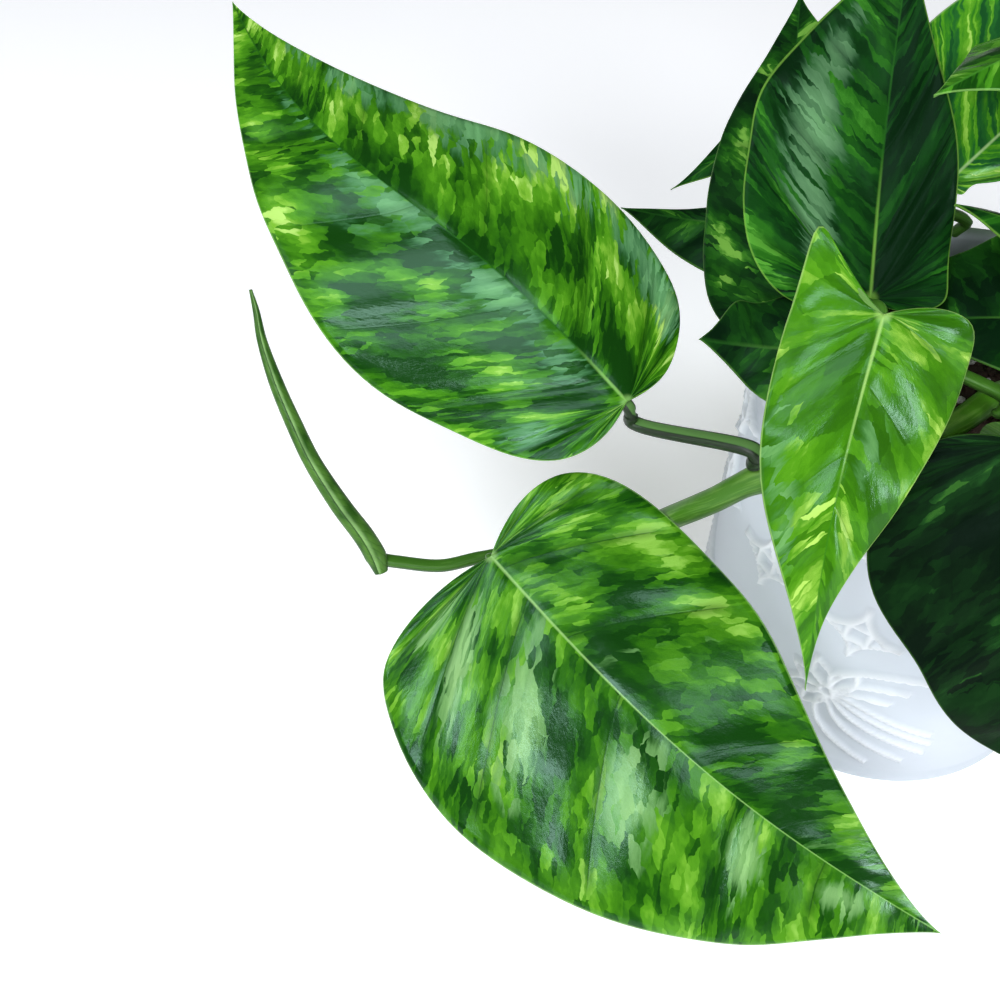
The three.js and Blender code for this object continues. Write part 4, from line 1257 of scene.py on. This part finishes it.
def petal(angle, length, width):
    """The outline of one petal as two bowed lines from the middle to its tip."""
    share = np.linspace(0, 1, 12)[:, None]
    way = ray(angle)
    side = np.array([-way[1], way[0]])
    spine = HUB + (length - HUB) * share
    half = width / 2 * np.sin(math.pi * share ** 0.8)
    return [spine * way + sign * half * side for sign in (1, -1)]


def swept_line(leave, settle, reach):
    """A line that leaves the hub one way and bends until it runs another, in degrees."""
    along = np.linspace(0, reach, 24)
    swing = settle + (leave - settle) * np.exp(-(along / (5 + 0.1 * abs(leave))) ** 2)
    return np.cumsum(ray(np.radians(swing)) * along[1], axis=0)


def ornament_lines():
    """The lines round one rosette, in millimetres across and up from its hub."""
    lines = [HUB * ray(np.linspace(0, 2 * math.pi, 13))]
    for degrees, length, width in PETALS:
        lines += petal(math.radians(degrees), length, width)
    lines += [swept_line(*line) for line in SWEPT_LINES]
    for field in FIELDS:
        lines.append(field + SQUARE)
        for corner in np.radians((45, 135, 225, 315)):
            middle = field + FIELD * math.sqrt(2) * ray(corner)
            lines.append(middle + FIELD * ray(np.linspace(-1, 1, 14) * math.pi / 4 + corner + math.pi))
    return lines


def distance_to(lines, x, y):
    """How far each place is from the nearest line."""
    nearest = np.full(x.shape, 1e9)
    for line in lines:
        for (ax, ay), (bx, by) in zip(line[:-1], line[1:]):
            dx, dy = bx - ax, by - ay
            share = np.clip(((x - ax) * dx + (y - ay) * dy) / (dx * dx + dy * dy + 1e-12), 0, 1)
            nearest = np.minimum(nearest, np.hypot(x - ax - share * dx, y - ay - share * dy))
    return nearest


def wall_relief(turn, height):
    """How far the wall is raised, on a grid of turns and heights."""
    across = (turn - math.radians(ROSETTE_TURN)) * MEAN_RADIUS
    x = (across + CELL / 2) % CELL - CELL / 2
    y = height - ROSETTE_HEIGHT
    return np.exp(-(distance_to(ornament_lines(), x, y) / LINE_HALF) ** 2)


print("lines in one part of the ornament:", len(ornament_lines()))

# %% [markdown]
# ## The pot's body and glaze
#
# The pot is turned like on a lathe: up the wall, over the rim and down the inside to the floor.
# Each point of the wall is raised by its distance to the nearest line of the ornament.

# %% Pot
def rounded_edge(x, z, degrees):
    """Places round an edge whose middle lies at x and z; they carry no ornament."""
    return [(x + EDGE_ROUND * math.cos(a), z + EDGE_ROUND * math.sin(a), 0) for a in np.radians(degrees)]


def pot_mesh():
    """The pot as one closed turned body with its ornament."""
    top = POT_HEIGHT - EDGE_ROUND
    wall = np.linspace(EDGE_ROUND, top, WALL_ROWS)
    outline = [(BASE_RADIUS - EDGE_ROUND, 0, 0)]
    outline += rounded_edge(BASE_RADIUS - EDGE_ROUND, EDGE_ROUND, (-75, -60, -45, -30, -15))
    rows = slice(len(outline), len(outline) + WALL_ROWS)
    for z in wall:
        share = (z - EDGE_ROUND) / (top - EDGE_ROUND)
        calm = min(1, max(0, (z - 3) / 3)) * min(1, max(0, (POT_HEIGHT - 4 - z) / 3))
        outline.append((BASE_RADIUS + (RIM_RADIUS - BASE_RADIUS) * share, z, calm))
    outline += rounded_edge(RIM_RADIUS - EDGE_ROUND, top, (20, 45, 70, 90))
    outline += rounded_edge(RIM_RADIUS - POT_WALL + EDGE_ROUND, top, (90, 120, 150, 180))
    outline.append((BASE_RADIUS - POT_WALL, POT_FLOOR, 0))
    outline = np.array(outline)
    turn = np.linspace(-math.pi, math.pi, COLUMNS + 1)[:-1]
    relief = np.zeros((len(outline), COLUMNS))
    relief[rows] = RELIEF * wall_relief(*np.meshgrid(turn, wall)) * outline[rows, 2:]
    radius = outline[:, :1] + relief - RELIEF / 2 * outline[:, 2:]
    points = np.stack([radius * np.cos(turn), radius * np.sin(turn), outline[:, 1:2] + 0 * radius], axis=2)
    points = np.vstack([points.reshape(-1, 3), [(0, 0, 0), (0, 0, POT_FLOOR)]])
    faces = ring_faces(len(outline), COLUMNS)
    under = len(outline) * COLUMNS
    last = under - COLUMNS
    for k in range(COLUMNS):
        following = (k + 1) % COLUMNS
        faces.append((under, following, k))
        faces.append((under + 1, last + k, last + following))
    mesh = mesh_of("pot_cast", points, faces)
    keep(mesh, "raised", np.append(relief / RELIEF, [0, 0]))
    return mesh


def pot_finish():
    """White cast ceramic with a thin satin glaze; the raised lines are painted paler and the wall round
    them greyer, as painted light and shade.
    """
    material, tree = new_material("white_satin_glaze_with_painted_relief_shade")
    solid = add_node(tree, "ShaderNodeTexCoord").outputs["Object"]
    clouds = add_node(tree, "ShaderNodeTexNoise", {
        "Vector": solid, "Scale": 1 / (22 * MM), "Detail": 3.0})
    grains = add_node(tree, "ShaderNodeTexNoise", {
        "Vector": solid, "Scale": 1 / (0.9 * MM), "Detail": 2.0})
    raised = add_node(tree, "ShaderNodeAttribute", attribute_name="raised").outputs["Fac"]
    # Painted light and shade: the raised lines are paler and the wall round them greyer
    tone = layered(tree, "#b9c0c9", (clouds, "#c8ced5"), (raised, "#e6e9ed"))
    rough = add_node(tree, "ShaderNodeMapRange", (clouds, 0.0, 1.0, 0.42, 0.56))
    surface(tree, grains, 0.12, 0.1, {"Base Color": tone, "Roughness": rough, "IOR": 1.5})
    return material


pot = show("pot_cast", pot_mesh(), [pot_finish()])
stands_for(pot, "pot")
print("pot triangles:", triangle_count(pot.data))

# %% [markdown]
# ## Potting soil
#
# Potting soil is dark brown and crumbly. The bed is a closed, uneven body that fills the pot to a
# low crown.

# %% Soil
SOIL_CROWN = 3
SOIL_SIDES = 96
SOIL_ROWS = 25
SOIL_REACH = 47.3
SOIL_DIP = 1.4


def soil_bed():
    """A closed body with an uneven top."""
    share = np.linspace(0, 1, SOIL_ROWS + 1)[1:, None]
    turn = np.linspace(0, 2 * math.pi, SOIL_SIDES + 1)[:-1]
    x = share * SOIL_REACH * np.cos(turn)
    y = share * SOIL_REACH * np.sin(turn)
    uneven = 0.9 * puckers(np.stack([x, y, 0 * x], axis=2) * 2.3, 3)
    z = SOIL_TOP - SOIL_DIP - (SOIL_CROWN - 0.5) * share ** 2 + uneven
    top = np.stack([x, y, z], axis=2).reshape(-1, 3)
    foot_radius = BASE_RADIUS - POT_WALL - 0.6
    foot_height = POT_FLOOR + SEAT_GAP
    foot = [(foot_radius * math.cos(a), foot_radius * math.sin(a), foot_height) for a in turn]
    points = np.vstack([top, foot, [(0, 0, SOIL_TOP - SOIL_DIP), (0, 0, foot_height)]])
    middle = len(top) + SOIL_SIDES
    faces = []
    for k in range(SOIL_SIDES):
        following = (k + 1) % SOIL_SIDES
        faces.append((middle, k, following))
        for i in range(0, len(top), SOIL_SIDES):
            faces.append((i + k, i + SOIL_SIDES + k, i + SOIL_SIDES + following, i + following))
        faces.append((len(top) + k, middle + 1, len(top) + following))
    return mesh_of("soil_bed", points, faces)


def earth_finish(name, dark, light, grain_mm):
    """A dull, crumbly finish between two tones."""
    material, tree = new_material(name)
    solid = add_node(tree, "ShaderNodeTexCoord").outputs["Object"]
    grains = add_node(tree, "ShaderNodeTexNoise", {
        "Vector": solid, "Scale": 1 / (grain_mm * MM), "Detail": 5.0, "Roughness": 0.7})
    tone = layered(tree, dark, (grains, light))
    surface(tree, grains, 0.8, 0.6, {"Base Color": tone, "Roughness": 0.92})
    return material


EARTH = earth_finish("damp_potting_soil", "#1d1410", "#4a3527", 1.5)
PUFFED = earth_finish("white_puffed_grains", "#c9c6be", "#f1efe9", 0.8)
bed = show("soil_bed", soil_bed(), [EARTH])
stands_for(bed, "soil")
print("soil triangles:", triangle_count(bed.data))

# %% [markdown]
# ## Crumbs and white grains
#
# White grains of puffed glass rock keep potting soil airy. Geometry Nodes strew lumpy balls of many
# sizes over the top of the bed: dark crumbs close together, white grains far apart.

# %% Crumbs
def crumb_tree():
    """Strews crumbs over a surface."""
    tree, given = new_tree("strewn_crumbs", Apart="Float", Crumb="Float", Density="Float", Seed="Int",
                           Finish="Material")
    points = add_node(tree, "GeometryNodeDistributePointsOnFaces", {
        "Mesh": given["Geometry"], "Distance Min": given["Apart"], "Density Max": given["Density"],
        "Seed": given["Seed"]}, distribute_method="POISSON")
    ball = add_node(tree, "GeometryNodeMeshIcoSphere", {"Radius": given["Crumb"], "Subdivisions": 2})
    lumps = add_node(tree, "ShaderNodeTexNoise", {"Scale": 900.0, "Detail": 1.0}).outputs["Color"]
    lift = add_node(tree, "ShaderNodeVectorMath", (lumps, (0.5, 0.5, 0.5)), operation="SUBTRACT")
    lift = add_node(tree, "ShaderNodeVectorMath", {0: lift, "Scale": 1.6 * MM}, operation="SCALE")
    lumpy = add_node(tree, "GeometryNodeSetPosition", {"Geometry": ball, "Offset": lift})
    spin = add_node(tree, "FunctionNodeRandomValue", {
        "Max": (6.28, 6.28, 6.28), "Seed": given["Seed"]}, data_type="FLOAT_VECTOR")
    size = add_node(tree, "FunctionNodeRandomValue", {
        "Min": (0.4, 0.4, 0.3), "Max": (1.2, 1.0, 0.8), "Seed": given["Seed"]}, data_type="FLOAT_VECTOR")
    strewn = add_node(tree, "GeometryNodeInstanceOnPoints", {
        "Points": points, "Instance": lumpy, "Rotation": spin, "Scale": size})
    end_tree(tree, strewn, given["Finish"])
    return tree


top_points = [v.co / MM for v in bed.data.vertices]
top_faces = [tuple(p.vertices) for p in bed.data.polygons if p.normal.z > 0.5]
CRUMBS = crumb_tree()
for name, finish, settings in (
        ("soil_crumbs", EARTH, {"Apart": 1.5 * MM, "Crumb": 1.5 * MM, "Density": 2.2e5, "Seed": 4}),
        ("soil_white_grains", PUFFED, {"Apart": 5 * MM, "Crumb": 1.3 * MM, "Density": 2.4e4, "Seed": 9})):
    strewn = grown(CRUMBS, mesh_of("soil_top", top_points, top_faces), {**settings, "Finish": finish})
    crumbs = show(name, strewn, [finish])
    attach(crumbs, "root")
    print(name, "triangles:", triangle_count(strewn))

# %% [markdown]
# ## Floor and light
#
# The plant stands on a plain white floor that glows a little, so it stays white in the shadows. A
# large cool light above stands for the open sky. Two windows in front draw the bright streaks on
# the puffs of the leaves, a low light from the right shows the pot's relief, and a weak light from
# the left keeps the shadows soft. The room beyond the floor is seen as a pale wall, but lights the
# plant only faintly, so the gloss keeps its contrast.

# %% Floor and lights
floor_mesh = mesh_of("floor", [(-3000, -3000, -0.3), (3000, -3000, -0.3), (3000, 3000, -0.3),
                               (-3000, 3000, -0.3)], [(0, 1, 2, 3)])
floor_material = bpy.data.materials.new("white_floor")
floor_material.use_nodes = True
floor_skin = floor_material.node_tree.nodes["Principled BSDF"].inputs
floor_skin["Base Color"].default_value = colour("#f4f4f4")
floor_skin["Roughness"].default_value = 0.9
floor_skin["Emission Color"].default_value = colour("#ffffff")
floor_skin["Emission Strength"].default_value = 0.34
floor = show("floor", floor_mesh, [floor_material])


def soft_light(name, place, target, size, power, tint):
    """A soft light of some width and height that looks at a target."""
    data = bpy.data.lights.new(name, "AREA")
    data.shape = "RECTANGLE"
    data.size, data.size_y = size
    data.energy = power
    data.color = colour(tint)[:3]
    light = bpy.data.objects.new(name, data)
    light.location = place
    way = np.subtract(place, target)
    flat = math.hypot(way[0], way[1])
    light.rotation_euler = (math.atan2(flat, way[2]), 0, math.atan2(way[1], way[0]) + math.pi / 2)
    bpy.context.scene.collection.objects.link(light)


AIM = (-0.05, 0.0, 0.1)
LOW_AIM = (0.0, 0.0, 0.05)
soft_light("sky_light", (-0.45, -0.26, 0.95), AIM, (0.5, 0.5), 6.0, "#f2f7ff")
soft_light("left_window", (-0.5, -0.97, 0.75), AIM, (0.6, 0.22), 9.0, "#f8faff")
soft_light("right_window", (0.32, -0.63, 0.82), AIM, (0.3, 0.3), 3.0, "#f6f9ff")
soft_light("low_right_light", (0.75, -0.75, 0.3), LOW_AIM, (0.2, 0.2), 5.0, "#f6f8ff")
soft_light("left_light", (-1.1, -0.2, 0.6), AIM, (0.7, 0.7), 2.5, "#ffffff")
world = bpy.data.worlds.new("studio")
bpy.context.scene.world = world
world.use_nodes = True
backdrop = world.node_tree.nodes["Background"]
backdrop.inputs["Color"].default_value = colour("#e8eef5")
seen = add_node(world.node_tree, "ShaderNodeLightPath").outputs["Is Camera Ray"]
strength = add_node(world.node_tree, "ShaderNodeMath", (seen, 0.75, 0.08), operation="MULTIPLY_ADD")
world.node_tree.links.new(strength.outputs["Value"], backdrop.inputs["Strength"])
bpy.context.scene.view_settings.view_transform = "Standard"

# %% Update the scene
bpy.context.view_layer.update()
